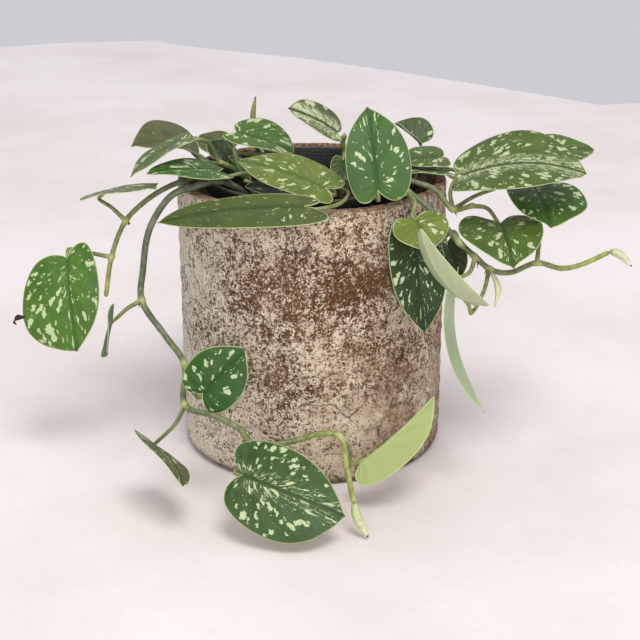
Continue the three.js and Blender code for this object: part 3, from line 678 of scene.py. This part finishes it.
# %% Tree helper
class Tree:
    """A Geometry Nodes tree with one geometry in and out, named inputs, and short calls."""

    def __init__(self, name, **inputs):
        self.group = bpy.data.node_groups.new(name, "GeometryNodeTree")
        self.group.is_modifier = True
        interface = self.group.interface
        interface.new_socket("Geometry", in_out="INPUT", socket_type="NodeSocketGeometry")
        interface.new_socket("Geometry", in_out="OUTPUT", socket_type="NodeSocketGeometry")
        kinds = {int: "NodeSocketInt", float: "NodeSocketFloat"}
        for label, value in inputs.items():
            made = interface.new_socket(label.replace("_", " "), in_out="INPUT",
                                        socket_type=kinds[type(value)])
            made.default_value = value
        self.start = self.group.nodes.new("NodeGroupInput")
        self.end = self.group.nodes.new("NodeGroupOutput")

    def put(self, socket, value):
        if isinstance(value, bpy.types.NodeSocket):
            self.group.links.new(value, socket)
        else:
            socket.default_value = value

    def node(self, kind, inputs=(), **settings):
        prefix = "" if kind.startswith(("Function", "Shader")) else "Geometry"
        made = self.group.nodes.new(prefix + ("Node" if prefix else "") + kind)
        for name, value in settings.items():
            setattr(made, name, value)
        for key, value in dict(inputs).items():
            self.put(made.inputs[key], value)
        return made

    def math(self, operation, *values):
        return self.node("ShaderNodeMath", enumerate(values), operation=operation).outputs[0]

    def named(self, name, data_type="FLOAT"):
        found = self.node("InputNamedAttribute", {"Name": name}, data_type=data_type)
        return found.outputs["Attribute"]

    def close(self, geometry, material):
        """Ends the tree in Realize Instances and Set Material."""
        real = self.node("RealizeInstances", {"Geometry": geometry}).outputs[0]
        painted = self.node("SetMaterial", {"Geometry": real, "Material": material}).outputs[0]
        self.put(self.end.inputs[0], painted)
        return self.group


def run_tree(thing, group, name, **values):
    """Runs the tree on thing and returns the result as a plain mesh object."""
    modifier = thing.modifiers.new("tree", "NODES")
    modifier.node_group = group
    for item in group.interface.items_tree:
        label = item.name.replace(" ", "_")
        if item.in_out == "INPUT" and label in values:
            modifier[item.identifier] = values[label]
    bpy.context.view_layer.update()
    evaluated = thing.evaluated_get(bpy.context.evaluated_depsgraph_get())
    mesh = bpy.data.meshes.new_from_object(evaluated)
    mesh.name = name
    thing.modifiers.remove(modifier)
    bpy.data.objects.remove(thing)
    return show(name, mesh)


print("tree helper ready")

# %% [markdown]
# ## Stem finish
# A stem is grey-green and satin, with fine lines along it. It is paler and yellower at every
# node, and at its young end. Fine brown flecks show where old sheaths came away.

# %% Stem finish
sh = Shader("vine_stem", 0.5, Specular_IOR_Level=0.4)
here = sh.objects_place()
bark = sh.noise(here, 260.0, 4, 0.6)
old_green = sh.mix(sh.step(bark, 0.35, 0.68), srgb(70, 80, 56), srgb(108, 117, 92))
young_green = sh.mix(sh.step(bark, 0.35, 0.68), srgb(126, 138, 62), srgb(166, 174, 96))
stem_color = sh.mix(sh.attribute("young"), old_green, young_green)
stem_color = sh.mix(sh.math("MULTIPLY", sh.attribute("knot"), 0.75), stem_color,
                    srgb(186, 190, 126))
flecks = sh.step(sh.noise(here, 1500.0, 3, 0.6), 0.66, 0.72)
stem_color = sh.mix(sh.math("MULTIPLY", flecks, 0.6), stem_color, srgb(96, 74, 48))
stem_normal = sh.bump(sh.noise(here, 1300.0, 3, 0.6), 0.0002, sh.bump(bark, 0.0005))
stem_material = sh.finish(stem_color, sh.math("MULTIPLY_ADD", bark, 0.2, 0.38), stem_normal)
print("finish:", stem_material.name)

# %% The stem tree and the vines
stem_tree = Tree("swept_stem", Sides=12, Thickness=1.0)
chain = stem_tree.node("MeshToCurve", {"Mesh": stem_tree.start.outputs["Geometry"]}).outputs[0]
sized = stem_tree.math("MULTIPLY", stem_tree.named("thick"), stem_tree.start.outputs["Thickness"])
chain = stem_tree.node("SetCurveRadius", {"Curve": chain, "Radius": sized}).outputs[0]
ring = stem_tree.node("CurvePrimitiveCircle", {"Resolution": stem_tree.start.outputs["Sides"],
                                               "Radius": MM}).outputs[0]
swept = stem_tree.node("CurveToMesh", {"Curve": chain, "Profile Curve": ring, "Fill Caps": True})
if "Scale" in swept.inputs:
    radius_field = stem_tree.node("InputRadius").outputs[0]
    stem_tree.put(swept.inputs["Scale"], radius_field)
swept = stem_tree.node("SetShadeSmooth", {"Geometry": swept.outputs[0]}).outputs[0]
stem_group = stem_tree.close(swept, stem_material)


def chains(name, strands):
    """A mesh of edges, one chain for each strand, that carries the strands' attributes."""
    points = np.vstack([strand[0] for strand in strands])
    edges, first = [], 0
    for strand in strands:
        count = len(strand[0])
        edges += [(first + i, first + i + 1) for i in range(count - 1)]
        first += count
    mesh = bpy.data.meshes.new(name)
    mesh.from_pydata([tuple(p) for p in points * MM], edges, [])
    for column, key in ((1, "thick"), (2, "knot"), (3, "young")):
        values = np.concatenate([strand[column] for strand in strands])
        mesh.attributes.new(key, "FLOAT", "POINT").data.foreach_set("value", values)
    return show(name, mesh)


vines = {}
for name, strands in strands_of.items():
    path_mesh = chains(name + "_path", strands)
    vines[name] = run_tree(path_mesh, stem_group, name + "_stem", Sides=12, Thickness=1.0)
    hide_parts(name)
    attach(vines[name], "root")
print("vines:", sum(len(v.data.polygons) for v in vines.values()), "faces")

# %% [markdown]
# ## Aerial roots
# Below every node a pothos grows one or two short brown roots, which would hold on to bark in the
# wild. They repeat, so a Geometry Nodes tree puts one hook on each point that it is given, turned
# by a seeded random amount. A hook is a bent curve swept with a ring that thins to its end.

# %% Root tree
sh = Shader("root_brown", 0.8, Specular_IOR_Level=0.2)
root_material = sh.finish(sh.mix(sh.noise(sh.objects_place(), 900.0), srgb(58, 40, 26),
                                 srgb(120, 88, 56)))
ROOT_SIZES = {"Root_length": 0.0042, "Root_thickness": 0.0005, "Seed": 4}
root_tree = Tree("aerial_roots", **ROOT_SIZES)
inputs = root_tree.start.outputs
hook = root_tree.node("CurveQuadraticBezier", {"Resolution": 7})
root_tree.put(hook.inputs["Start"], (0, 0, 0))
for label, share in (("Middle", (0.5, 0.0, 0.1)), ("End", (0.75, 0.0, -0.5))):
    scaled = root_tree.node("ShaderNodeVectorMath", {0: share}, operation="SCALE")
    root_tree.put(scaled.inputs["Scale"], inputs["Root length"])
    root_tree.put(hook.inputs[label], scaled.outputs[0])
along_hook = root_tree.node("SplineParameter").outputs[0]
thin = root_tree.math("SUBTRACT", 1.0, root_tree.math("MULTIPLY", along_hook, 0.75))
hook_curve = root_tree.node("SetCurveRadius", {"Curve": hook.outputs[0], "Radius": thin}).outputs[0]
hook_ring = root_tree.node("CurvePrimitiveCircle", {
    "Resolution": 6, "Radius": inputs["Root thickness"]}).outputs[0]
hook_mesh = root_tree.node("CurveToMesh", {"Curve": hook_curve, "Profile Curve": hook_ring,
                                           "Fill Caps": True})
if "Scale" in hook_mesh.inputs:
    root_tree.put(hook_mesh.inputs["Scale"], root_tree.node("InputRadius").outputs[0])
dots = root_tree.node("MeshToPoints", {"Mesh": inputs["Geometry"]}).outputs[0]
turn = root_tree.node("FunctionNodeRandomValue", {"Min": (-0.5, -0.3, 0.0), "Max": (0.5, 0.3, 6.28),
                                                  "Seed": inputs["Seed"]}, data_type="FLOAT_VECTOR")
grow = root_tree.node("FunctionNodeRandomValue", {2: 0.6, 3: 1.3, "Seed": inputs["Seed"]})
hooks = root_tree.node("InstanceOnPoints", {
    "Points": dots, "Instance": hook_mesh.outputs[0], "Rotation": turn.outputs[0],
    "Scale": grow.outputs[1]}).outputs[0]
root_group = root_tree.close(hooks, root_material)

root_points = []
for name, (radius, stem, branches) in VINES.items():
    for start, leaf, *via in branches:
        if leaf and start > 4 and (start, name) not in root_points:
            root_points.append((start, name))
root_places = [Vector(VINES[name][1][start]) * MM for start, name in root_points]
root_places += [p + Vector((0.0012, 0, -0.0016)) for p in root_places[::2]]
dots_mesh = bpy.data.meshes.new("root_points")
dots_mesh.from_pydata(root_places, [], [])
dots_thing = show("root_points", dots_mesh)
roots = run_tree(dots_thing, root_group, "aerial_root_hooks", **ROOT_SIZES)
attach(roots, "root")
print("aerial roots:", len(root_places), "hooks,", len(roots.data.polygons), "faces")

# %% [markdown]
# ## New shoots
# A new leaf comes rolled up like a scroll, pale and pointed, with the free edge lying on the roll
# as a low step. So the cross-section is a spiral of one turn and a bit, thinner at both ends.

# %% Shoots
SHOOTS = {
    "shoot_front": (2.6, [(20.5, -119, 16.2), (22.5, -121.5, 9), (27, -125, 1.8)],
                    (176, 188, 124), (206, 208, 168)),
    "shoot_right": (2.4, [(153, -26, 112.4), (158, -27, 111), (164, -28, 105)],
                    (178, 182, 132), (220, 218, 192)),
    "shoot_left": (1.8, [(-35, -18, 148.8), (-38, -17, 157), (-40, -16, 165)],
                   (58, 88, 42), (92, 116, 64)),
    "shoot_top": (1.6, [(-30.5, 24, 163.4), (-31.5, 25, 171), (-30, 26, 181)],
                  (104, 112, 60), (150, 140, 84)),
}
ROLL_SIDES = 28


def rolled_leaf(name, radius, stem):
    path, places = smooth_path(stem)
    path = np.array([path[0] * (1 - w) + path[1] * w for w in (0, 0.5)] + list(path[1:]))
    places = np.linspace(0, 1, len(path))
    tangents = np.gradient(path, axis=0)
    normal = unit(np.cross((0.31, 0.95, 0.07), tangents[0]))
    points, ends = [], []
    for q, tangent, place in zip(path, tangents, places):
        tangent = unit(tangent)
        normal = unit(normal - normal.dot(tangent) * tangent)
        other = np.cross(tangent, normal)
        size = 0.35 + (radius - 0.35) * math.sin(math.pi * (0.10 + 0.885 * place)) ** 0.8
        for k in range(ROLL_SIDES):
            angle = 2 * math.pi * (k / ROLL_SIDES + 0.35 * place)
            step_height = 0.80 + 0.22 * k / ROLL_SIDES
            points.append(q + (normal * math.cos(angle) + other * math.sin(angle))
                          * size * step_height)
        ends.append(place)
    faces = []
    for row in range(len(path) - 1):
        for k in range(ROLL_SIDES):
            a, b = row * ROLL_SIDES + k, row * ROLL_SIDES + (k + 1) % ROLL_SIDES
            faces.append((a, b, b + ROLL_SIDES, a + ROLL_SIDES))
    first, last = len(points), len(points) + 1
    points += [path[0] - unit(tangents[0]) * 0.3, path[-1] + unit(tangents[-1]) * 0.5]
    for k in range(ROLL_SIDES):
        after = (k + 1) % ROLL_SIDES
        faces.append((after, k, first))
        faces.append((len(path) * ROLL_SIDES - ROLL_SIDES + k,
                      len(path) * ROLL_SIDES - ROLL_SIDES + after, last))
    thing = new_mesh(name + "_roll", np.array(points) * MM, faces)
    values = np.append(np.repeat(ends, ROLL_SIDES), [0, 1])
    thing.data.attributes.new("run", "FLOAT", "POINT").data.foreach_set("value", values)
    return thing


for name, (radius, stem, foot_color, tip_color) in SHOOTS.items():
    thing = rolled_leaf(name, radius, stem)
    sh = Shader(name + "_skin", 0.42, Specular_IOR_Level=0.45)
    here = sh.objects_place()
    run = sh.attribute("run")
    shoot_color = sh.mix(run, srgb(*foot_color), srgb(*tip_color))
    shade = sh.noise(here, 500.0, 3, 0.6)
    shoot_color = sh.mix(sh.math("MULTIPLY", sh.step(shade, 0.5, 0.62), 0.3), shoot_color,
                         srgb(96, 118, 70))
    shoot_color = sh.mix(sh.step(run, 0.93, 1.0), shoot_color, srgb(52, 44, 34))
    thing.data.materials.append(sh.finish(shoot_color, None, sh.bump(shade, 0.0003)))
    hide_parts(name)
    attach(thing, "root")
print("shoots:", len(SHOOTS))

# %% [markdown]
# ## Cover pot
# The outer pot is coarse brown clay under a crust of lime wash that has flaked into thousands of
# crumbs. The wall is turned from a profile, as fine as the crumbs are small, and a Geometry Nodes
# tree then lifts the crust and sinks the bare patches with three sizes of noise. The finish reads
# the same noise at the same places, so the pale colour sits on the raised crust.

# %% Turning a profile
def turned(name, profile, segments, spacing):
    """A turned body. Long steps of the profile are split so that no row is over spacing apart."""
    rows = [profile[0]]
    for start, end in zip(profile, profile[1:]):
        parts = max(1, math.ceil(math.dist(start, end) / spacing))
        rows += [(start[0] + (end[0] - start[0]) * k / parts,
                  start[1] + (end[1] - start[1]) * k / parts) for k in range(1, parts + 1)]
    points = [(0, 0, rows[0][1]), (0, 0, rows[-1][1])]
    rings = []
    for radius, height in rows[1:-1]:
        rings.append(len(points))
        points += [(radius * math.cos(2 * math.pi * k / segments),
                    radius * math.sin(2 * math.pi * k / segments), height) for k in range(segments)]
    faces = []
    for k in range(segments):
        after = (k + 1) % segments
        faces.append((0, rings[0] + after, rings[0] + k))
        faces.append((1, rings[-1] + k, rings[-1] + after))
        faces += [(a + k, a + after, b + after, b + k) for a, b in zip(rings, rings[1:])]
    return new_mesh(name, np.array(points) * MM, faces)


def rounded(profile, radius, steps=3):
    """The profile with its inner corners rounded by short arcs."""
    made = [profile[0]]
    for before, corner, after in zip(profile, profile[1:], profile[2:]):
        b, c, a = (np.array(q, float) for q in (before, corner, after))
        cut = min(radius, np.linalg.norm(b - c) * 0.45, np.linalg.norm(a - c) * 0.45)
        start, end = c + unit(b - c) * cut, c + unit(a - c) * cut
        for w in np.linspace(0, 1, steps + 1):
            made.append(tuple(start * (1 - w) ** 2 + c * 2 * w * (1 - w) + end * w ** 2))
    return made + [profile[-1]]


POT_PROFILE = [(0, 0), (66, 0), (68.6, 1.2), (69.5, 4), (70, 141), (69.6, 144.6), (68.2, 146),
               (65.6, 146), (64, 144.4), (63.3, 16), (60, 9), (0, 9)]
POT_SEGMENTS = 440
pot_form = turned("cover_pot_form", rounded(POT_PROFILE, 1.5), POT_SEGMENTS, 1.05)
print("cover pot wall:", len(pot_form.data.polygons), "faces")

# %% Clay finish
NOISE_SHIFT = (3.1, 1.7, 0.4)
PATCH_SCALE, FLAKE_SCALE, CRUMB_SCALE = 26.0, 190.0, 620.0
RUST_CENTRE = (0.004, -0.068, 0.108)
sh = Shader("rustic_clay", 0.92, Specular_IOR_Level=0.18)
here = sh.objects_place()
x_y_z = sh.node("SeparateXYZ", {0: here}).outputs
at = sh.vector("ADD", here, NOISE_SHIFT)
patch = sh.noise(at, PATCH_SCALE, 3, 0.55)
flake = sh.noise(at, FLAKE_SCALE, 4, 0.6)
crumb = sh.noise(at, CRUMB_SCALE, 4, 0.62, 0.6)
fine = sh.noise(at, 1500.0, 3, 0.65, 0.4)
left_side = sh.step(x_y_z[0], 0.01, -0.07)
low_side = sh.step(x_y_z[2], 0.075, 0.0)
rust_middle = sh.step(sh.distance(here, RUST_CENTRE), 0.062, 0.010)
lime = sh.math("MULTIPLY_ADD", crumb, 0.95, sh.math("MULTIPLY", fine, 0.75))
lime = sh.math("SUBTRACT", lime, 0.10)
lime = sh.math("MULTIPLY_ADD", flake, 0.55, lime)
lime = sh.math("MULTIPLY_ADD", patch, 0.60, lime)
lime = sh.math("MULTIPLY_ADD", left_side, 0.05, lime)
lime = sh.math("MULTIPLY_ADD", low_side, 0.04, lime)
lime = sh.math("SUBTRACT", lime, sh.math("MULTIPLY", rust_middle, 0.035))
clay_tone = sh.noise(at, 48.0, 4, 0.6)
clay = sh.mix(sh.step(clay_tone, 0.35, 0.65), srgb(104, 74, 48), srgb(150, 116, 86))
clay = sh.mix(sh.math("MULTIPLY", rust_middle, 0.5), clay, srgb(120, 80, 52))
clay = sh.mix(sh.step(fine, 0.47, 0.40), clay, srgb(60, 42, 26))
cream = sh.mix(sh.step(sh.noise(at, 70.0, 3, 0.6), 0.35, 0.65), srgb(255, 238, 212),
               srgb(236, 212, 184))
cream = sh.mix(sh.math("MULTIPLY", left_side, 0.6), cream, srgb(255, 247, 232))
wash = sh.mix(sh.step(lime, 1.24, 1.29), clay, sh.mix(0.5, clay, cream))
wash = sh.mix(sh.step(lime, 1.31, 1.36), wash, cream)
smear = sh.math("MULTIPLY", sh.step(x_y_z[0], -0.01, 0.05), sh.step(x_y_z[2], 0.075, 0.03))
smear = sh.math("MULTIPLY", smear, sh.step(clay_tone, 0.42, 0.54))
smear_color = sh.mix(sh.step(flake, 0.35, 0.65), srgb(170, 142, 116), srgb(202, 174, 148))
wash = sh.mix(sh.math("MULTIPLY", smear, sh.step(fine, 0.38, 0.5)), wash, smear_color)
wander = sh.node("TexNoise", {"Vector": at, "Scale": 60.0, "Detail": 3.0}).outputs["Color"]
bent = sh.vector("MULTIPLY_ADD", wander, (0.03, 0.03, 0.03), at)
crack_gap = sh.cells(bent, 30.0, "DISTANCE_TO_EDGE").outputs["Distance"]
crack = sh.math("MULTIPLY", sh.step(crack_gap, 0.020, 0.004), sh.step(patch, 0.42, 0.50))
crack = sh.math("MULTIPLY", crack, sh.step(flake, 0.40, 0.52))
wash = sh.mix(sh.math("MULTIPLY", crack, 0.75), wash, srgb(70, 50, 34))
specks = sh.step(sh.noise(at, 1050.0, 3, 0.6), 0.60, 0.63)
wash = sh.mix(sh.math("MULTIPLY", specks, 0.8), wash, srgb(54, 38, 22))
radius_here = sh.distance(sh.vector("MULTIPLY", here, (1, 1, 0)), (0, 0, 0))
on_lip = sh.math("MULTIPLY", sh.step(x_y_z[2], 0.1435, 0.1458), sh.step(radius_here, 0.062, 0.0645))
lip_color = sh.mix(sh.step(crumb, 0.4, 0.6), srgb(122, 84, 62), srgb(176, 140, 112))
wash = sh.mix(sh.math("MULTIPLY", on_lip, 0.8), wash, lip_color)
inside = sh.math("MULTIPLY", sh.step(radius_here, 0.0655, 0.0645), sh.step(x_y_z[2], 0.008, 0.010))
inner_color = sh.mix(sh.step(crumb, 0.42, 0.6), srgb(84, 62, 46), srgb(146, 122, 98))
wash = sh.mix(sh.math("MULTIPLY", inside, 0.8), wash, inner_color)
# Darker towards the bottom: the lowest seven millimetres of the pot turn towards dark brown.
foot_darkening = sh.math("MULTIPLY", sh.step(x_y_z[2], 0.007, 0.001), 0.7)
wash = sh.mix(foot_darkening, wash, srgb(66, 46, 30))
rough_normal = sh.bump(lime, 0.0009)
rough_normal = sh.bump(crack, -0.0006, rough_normal)
rough_normal = sh.bump(fine, 0.0004, rough_normal)
clay_material = sh.finish(wash, None, rough_normal)
print("finish:", clay_material.name, len(sh.nodes), "nodes")

# %% The crust tree
CRUST_SIZES = {"Crust_height": 0.0009, "Patch_height": 0.0011, "Wheel_marks": 0.00022}
crust_tree = Tree("clay_crust", **CRUST_SIZES)
inputs = crust_tree.start.outputs
place = crust_tree.node("InputPosition").outputs[0]
moved = crust_tree.node("ShaderNodeVectorMath", {0: place, 1: NOISE_SHIFT}, operation="ADD")


def crust_noise(scale, detail, roughness, distortion=0.0):
    found = crust_tree.node("ShaderNodeTexNoise", {
        "Vector": moved.outputs[0], "Scale": scale, "Detail": detail, "Roughness": roughness,
        "Distortion": distortion})
    return crust_tree.math("SUBTRACT", found.outputs[0], 0.5)


crumbs = crust_tree.math("MULTIPLY", crust_noise(CRUMB_SCALE, 2.0, 0.62, 0.6), inputs["Crust height"])
flakes = crust_tree.math("MULTIPLY", crust_noise(FLAKE_SCALE, 4.0, 0.6), inputs["Crust height"])
patches = crust_tree.math("MULTIPLY", crust_noise(PATCH_SCALE, 3.0, 0.55), inputs["Patch height"])
z_of = crust_tree.node("ShaderNodeSeparateXYZ", {0: place}).outputs[2]
wheel = crust_tree.math("SINE", crust_tree.math("MULTIPLY", z_of, 620.0))
wheel = crust_tree.math("MULTIPLY", wheel, inputs["Wheel marks"])
height = crust_tree.math("ADD", crust_tree.math("ADD", crumbs, flakes),
                         crust_tree.math("ADD", patches, wheel))
off_foot = crust_tree.node("ShaderNodeMapRange", {0: z_of, 1: 0.001, 2: 0.006}).outputs[0]
height = crust_tree.math("MULTIPLY", height, off_foot)
outward = crust_tree.node("InputNormal").outputs[0]
push = crust_tree.node("ShaderNodeVectorMath", {0: outward}, operation="SCALE")
crust_tree.put(push.inputs["Scale"], height)
crusted = crust_tree.node("SetPosition", {"Geometry": inputs["Geometry"],
                                          "Offset": push.outputs[0]}).outputs[0]
pot = run_tree(pot_form, crust_tree.close(crusted, clay_material), "cover_pot_crusted",
               **CRUST_SIZES)
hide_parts("outer_pot")
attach(pot, "root")
print("cover pot:", len(pot.data.polygons), "faces")

# %% [markdown]
# ## Nursery pot
# The plant still stands in the thin dark plastic pot that it was sold in. Its wall leans out to a
# turned-out band with a rounded lip. The finish is a scuffed satin brown-black with dust and fine
# scratches, and a pale band along the top of the lip is a painted highlight.

# %% Nursery pot
NURSERY_PROFILE = [(0, 9.4), (42, 9.4), (52.6, 139.7), (55, 140.5), (55, 147), (54.4, 147.5),
                   (53.4, 147.5), (51.4, 137.5), (40.4, 11.4), (0, 11.4)]
nursery = turned("nursery_pot_wall", rounded(NURSERY_PROFILE, 0.7), 160, 6)
sh = Shader("nursery_plastic", 0.45, Specular_IOR_Level=0.5)
here = sh.objects_place()
height = sh.node("SeparateXYZ", {0: here}).outputs[2]
scuff = sh.noise(sh.vector("MULTIPLY", here, (260, 260, 900)), 1.0, 3, 0.6)
plastic_color = sh.mix(sh.step(scuff, 0.4, 0.7), srgb(12, 11, 10), srgb(28, 25, 23))
# Painted highlight: a pale band along the top of the rounded lip.
lip_top_highlight = sh.math("MULTIPLY", sh.step(height, 0.1462, 0.1474), 0.6)
plastic_color = sh.mix(lip_top_highlight, plastic_color, srgb(104, 94, 84))
dust = sh.step(sh.noise(here, 420.0, 4, 0.7), 0.60, 0.70)
plastic_color = sh.mix(sh.math("MULTIPLY", dust, 0.4), plastic_color, srgb(126, 108, 88))
plastic_roughness = sh.math("MULTIPLY_ADD", scuff, 0.3, 0.32)
nursery.data.materials.append(sh.finish(plastic_color, plastic_roughness,
                                        sh.bump(scuff, 0.0003)))
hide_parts("nursery_pot")
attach(nursery, "root")
print("nursery pot:", len(nursery.data.polygons), "faces")

# %% [markdown]
# ## Potting soil
# Soil is dark, fibrous and lumpy. Its top is a disc of clods, and a Geometry Nodes tree scatters
# crumbs over it: it picks seeded random points on the top and puts a small, turned and squashed
# icosphere on each.

# %% Soil
SOIL_PROFILE = [(0, 11.8), (39.4, 11.8), (49.0, 131), (48.2, 133.4), (44, 134), (0, 134)]
soil = turned("soil_clods", SOIL_PROFILE, 96, 1.4)
soil_points = np.zeros(len(soil.data.vertices) * 3)
soil.data.vertices.foreach_get("co", soil_points)
soil_points = soil_points.reshape(-1, 3) / MM
top = soil_points[:, 2] > 132
x, y = soil_points[:, 0], soil_points[:, 1]
lumps = 1.3 * np.sin(x / 7 + 1) * np.cos(y / 6) + 0.9 * np.sin(x / 3.6 + y / 4.4)
lumps += 0.5 * np.sin(x * 1.9 + 2) * np.sin(y * 1.7) + 0.3 * np.sin(x * 3.1 + y * 2.3)
soil_points[top, 2] += lumps[top]
soil.data.vertices.foreach_set("co", (soil_points * MM).ravel())
soil.data.update()
sh = Shader("potting_soil", 0.95, Specular_IOR_Level=0.15)
here = sh.objects_place()
earth = sh.noise(here, 300.0, 5, 0.65)
soil_color = sh.mix(sh.step(earth, 0.38, 0.66), srgb(34, 24, 17), srgb(92, 66, 44))
bits = sh.step(sh.noise(here, 900.0, 2, 0.5), 0.66, 0.70)
soil_color = sh.mix(sh.math("MULTIPLY", bits, 0.7), soil_color, srgb(150, 112, 74))
soil_material = sh.finish(soil_color, None, sh.bump(earth, 0.002))

CRUMB_SIZES = {"Crumbs_per_area": 150000.0, "Crumb_size": 0.0011, "Seed": 9}
crumb_tree = Tree("soil_crumbs", **CRUMB_SIZES)
inputs = crumb_tree.start.outputs
z_of = crumb_tree.node("ShaderNodeSeparateXYZ", {
    0: crumb_tree.node("InputPosition").outputs[0]}).outputs[2]
on_top = crumb_tree.math("GREATER_THAN", z_of, 0.1315)
spots = crumb_tree.node("DistributePointsOnFaces", {
    "Mesh": inputs["Geometry"], "Selection": on_top, "Density": inputs["Crumbs per area"],
    "Seed": inputs["Seed"]})
crumb_ball = crumb_tree.node("MeshIcoSphere", {"Radius": inputs["Crumb size"], "Subdivisions": 1})
turn = crumb_tree.node("FunctionNodeRandomValue", {"Max": (6.28, 6.28, 6.28),
                                                   "Seed": inputs["Seed"]}, data_type="FLOAT_VECTOR")
grow = crumb_tree.node("FunctionNodeRandomValue", {
    "Min": (0.4, 0.4, 0.3), "Max": (1.6, 1.2, 0.9), "Seed": inputs["Seed"]},
    data_type="FLOAT_VECTOR")
scattered = crumb_tree.node("InstanceOnPoints", {
    "Points": spots.outputs[0], "Instance": crumb_ball.outputs[0], "Rotation": turn.outputs[0],
    "Scale": grow.outputs[0]}).outputs[0]
joined = crumb_tree.node("JoinGeometry")
crumb_tree.put(joined.inputs[0], scattered)
crumb_tree.put(joined.inputs[0], inputs["Geometry"])
soil = run_tree(soil, crumb_tree.close(joined.outputs[0], soil_material), "soil_with_crumbs",
                **CRUMB_SIZES)
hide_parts("soil")
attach(soil, "root")
print("soil:", len(soil.data.polygons), "faces")

# %% [markdown]
# ## Dry bits
# One big leaf has a shrivelled, nearly black scrap on its margin, and a papery sheath hangs from
# a node on the right. Both are short, thin ribbons that curl, so one helper makes them: a curve
# with a width at each point, given a thickness.

# %% Dry scrap and sheath
def ribbon(name, stem, widths, across, twist, material):
    path, places = smooth_path(stem)
    wide = np.interp(places, np.linspace(0, 1, len(widths)), widths)
    tangents = np.gradient(path, axis=0)
    points, faces = [], []
    for q, tangent, place, width in zip(path, tangents, places, wide):
        tangent = unit(tangent)
        side = unit(np.array(across, float) - np.dot(across, tangent) * tangent)
        up = np.cross(tangent, side)
        angle = twist * place
        side, up = (side * math.cos(angle) + up * math.sin(angle),
                    up * math.cos(angle) - side * math.sin(angle))
        for v, lift in ((-1, 0), (-0.5, 0.5), (0, 0.7), (0.5, 0.5), (1, 0), (0.5, 0.15), (0, 0.3),
                        (-0.5, 0.15)):
            points.append(q + side * width * v + up * width * 0.5 * lift)
    sides = 8
    for row in range(len(path) - 1):
        for k in range(sides):
            a, b = row * sides + k, row * sides + (k + 1) % sides
            faces.append((a, b, b + sides, a + sides))
    faces.append(tuple(range(sides))[::-1])
    faces.append(tuple(range(len(points) - sides, len(points))))
    thing = new_mesh(name, np.array(points) * MM, faces)
    thing.data.materials.append(material)
    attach(thing, "root")
    return thing


sh = Shader("dried_leaf", 0.7, Specular_IOR_Level=0.3)
dry_noise = sh.noise(sh.objects_place(), 800.0, 4, 0.6)
dry_material = sh.finish(sh.mix(dry_noise, srgb(22, 18, 16), srgb(70, 52, 40)), None,
                         sh.bump(dry_noise, 0.0006))
sh = Shader("papery_sheath", 0.6, Specular_IOR_Level=0.3)
paper_noise = sh.noise(sh.objects_place(), 500.0, 4, 0.6)
sheath_material = sh.finish(sh.mix(paper_noise, srgb(196, 192, 140), srgb(226, 220, 182)), None,
                            sh.bump(paper_noise, 0.0005))
ribbon("dry_scrap", [(-146.5, -42, 82), (-149.5, -43, 82.5), (-152, -43, 80.5), (-151, -42, 78)],
       (0.5, 1.6, 1.1, 0.3), (0, 0.3, 1), 1.2, dry_material)
ribbon("sheath_right", [(88, -64, 114), (91, -68, 107), (89.5, -70, 98)],
       (1.0, 1.6, 0.3), (1, 0.3, 0), 0.8, sheath_material)
print("dry bits: 2")

# %% [markdown]
# ## Table and wall
# The plant stands on a big pale table with a faint rosy stain here and there. Its far edge shows
# against a plain grey wall, which is the world colour, so it is the same from every side.

# %% Table
TABLE_EDGE = [(-3.0, 1.19), (-0.416, 1.179), (-0.342, 1.209), (-0.212, 1.228), (-0.196, 1.205),
              (-0.15, 1.172), (-0.021, 1.102), (0.101, 1.012), (0.210, 0.919), (0.271, 0.865),
              (0.309, 0.829), (0.354, 0.839), (3.0, 0.86)]
corners = [(x, y, 0) for x, y in TABLE_EDGE] + [(3.0, -3.2, 0), (-3.0, -3.2, 0)]
table = new_mesh("table", corners, [range(len(corners))[::-1]], smooth=False)
sh = Shader("pale_plaster", 0.55, Specular_IOR_Level=0.35)
here = sh.objects_place()
stain = sh.noise(here, 5.0, 5, 0.6)
speck = sh.noise(here, 160.0, 4, 0.6)
plaster = sh.mix(sh.step(stain, 0.35, 0.68), srgb(241, 233, 230), srgb(231, 220, 216))
plaster = sh.mix(sh.math("MULTIPLY", sh.step(speck, 0.60, 0.74), 0.25), plaster,
                 srgb(206, 194, 188))
table.data.materials.append(sh.finish(plaster, sh.math("MULTIPLY_ADD", stain, 0.2, 0.45),
                                      sh.bump(speck, 0.0002)))
print("table:", len(corners), "corners")

# %% [markdown]
# ## Light
# The light is a bright room: even light from the wall and ceiling, and one wide soft lamp high in
# front, which lays faint shadows under the leaves and runs them back over the table.

# %% Light
def soft_lamp(name, place, aim, size, power, color):
    lamp_data = bpy.data.lights.new(name, "AREA")
    lamp_data.shape = "DISK"
    lamp_data.size = size
    lamp_data.energy = power
    lamp_data.color = color
    lamp = show(name, lamp_data)
    lamp.location = place
    lamp.rotation_euler = (Vector(aim) - Vector(place)).to_track_quat("-Z", "Y").to_euler()


world = bpy.data.worlds.new("room")
world.use_nodes = True
world.node_tree.nodes["Background"].inputs["Color"].default_value = srgb(204, 204, 211)
world.node_tree.nodes["Background"].inputs["Strength"].default_value = 1.0
bpy.context.scene.world = world
bpy.context.scene.view_settings.view_transform = "Standard"
soft_lamp("key_lamp", (0.6, -1.7, 3.4), (0, 0.1, 0.05), 1.7, 78, (1.0, 0.985, 0.965))
soft_lamp("front_fill", (-0.2, -4.4, 1.5), (0, 0, 0.08), 2.6, 74, (1.0, 0.99, 0.975))
print("lamps: 2")
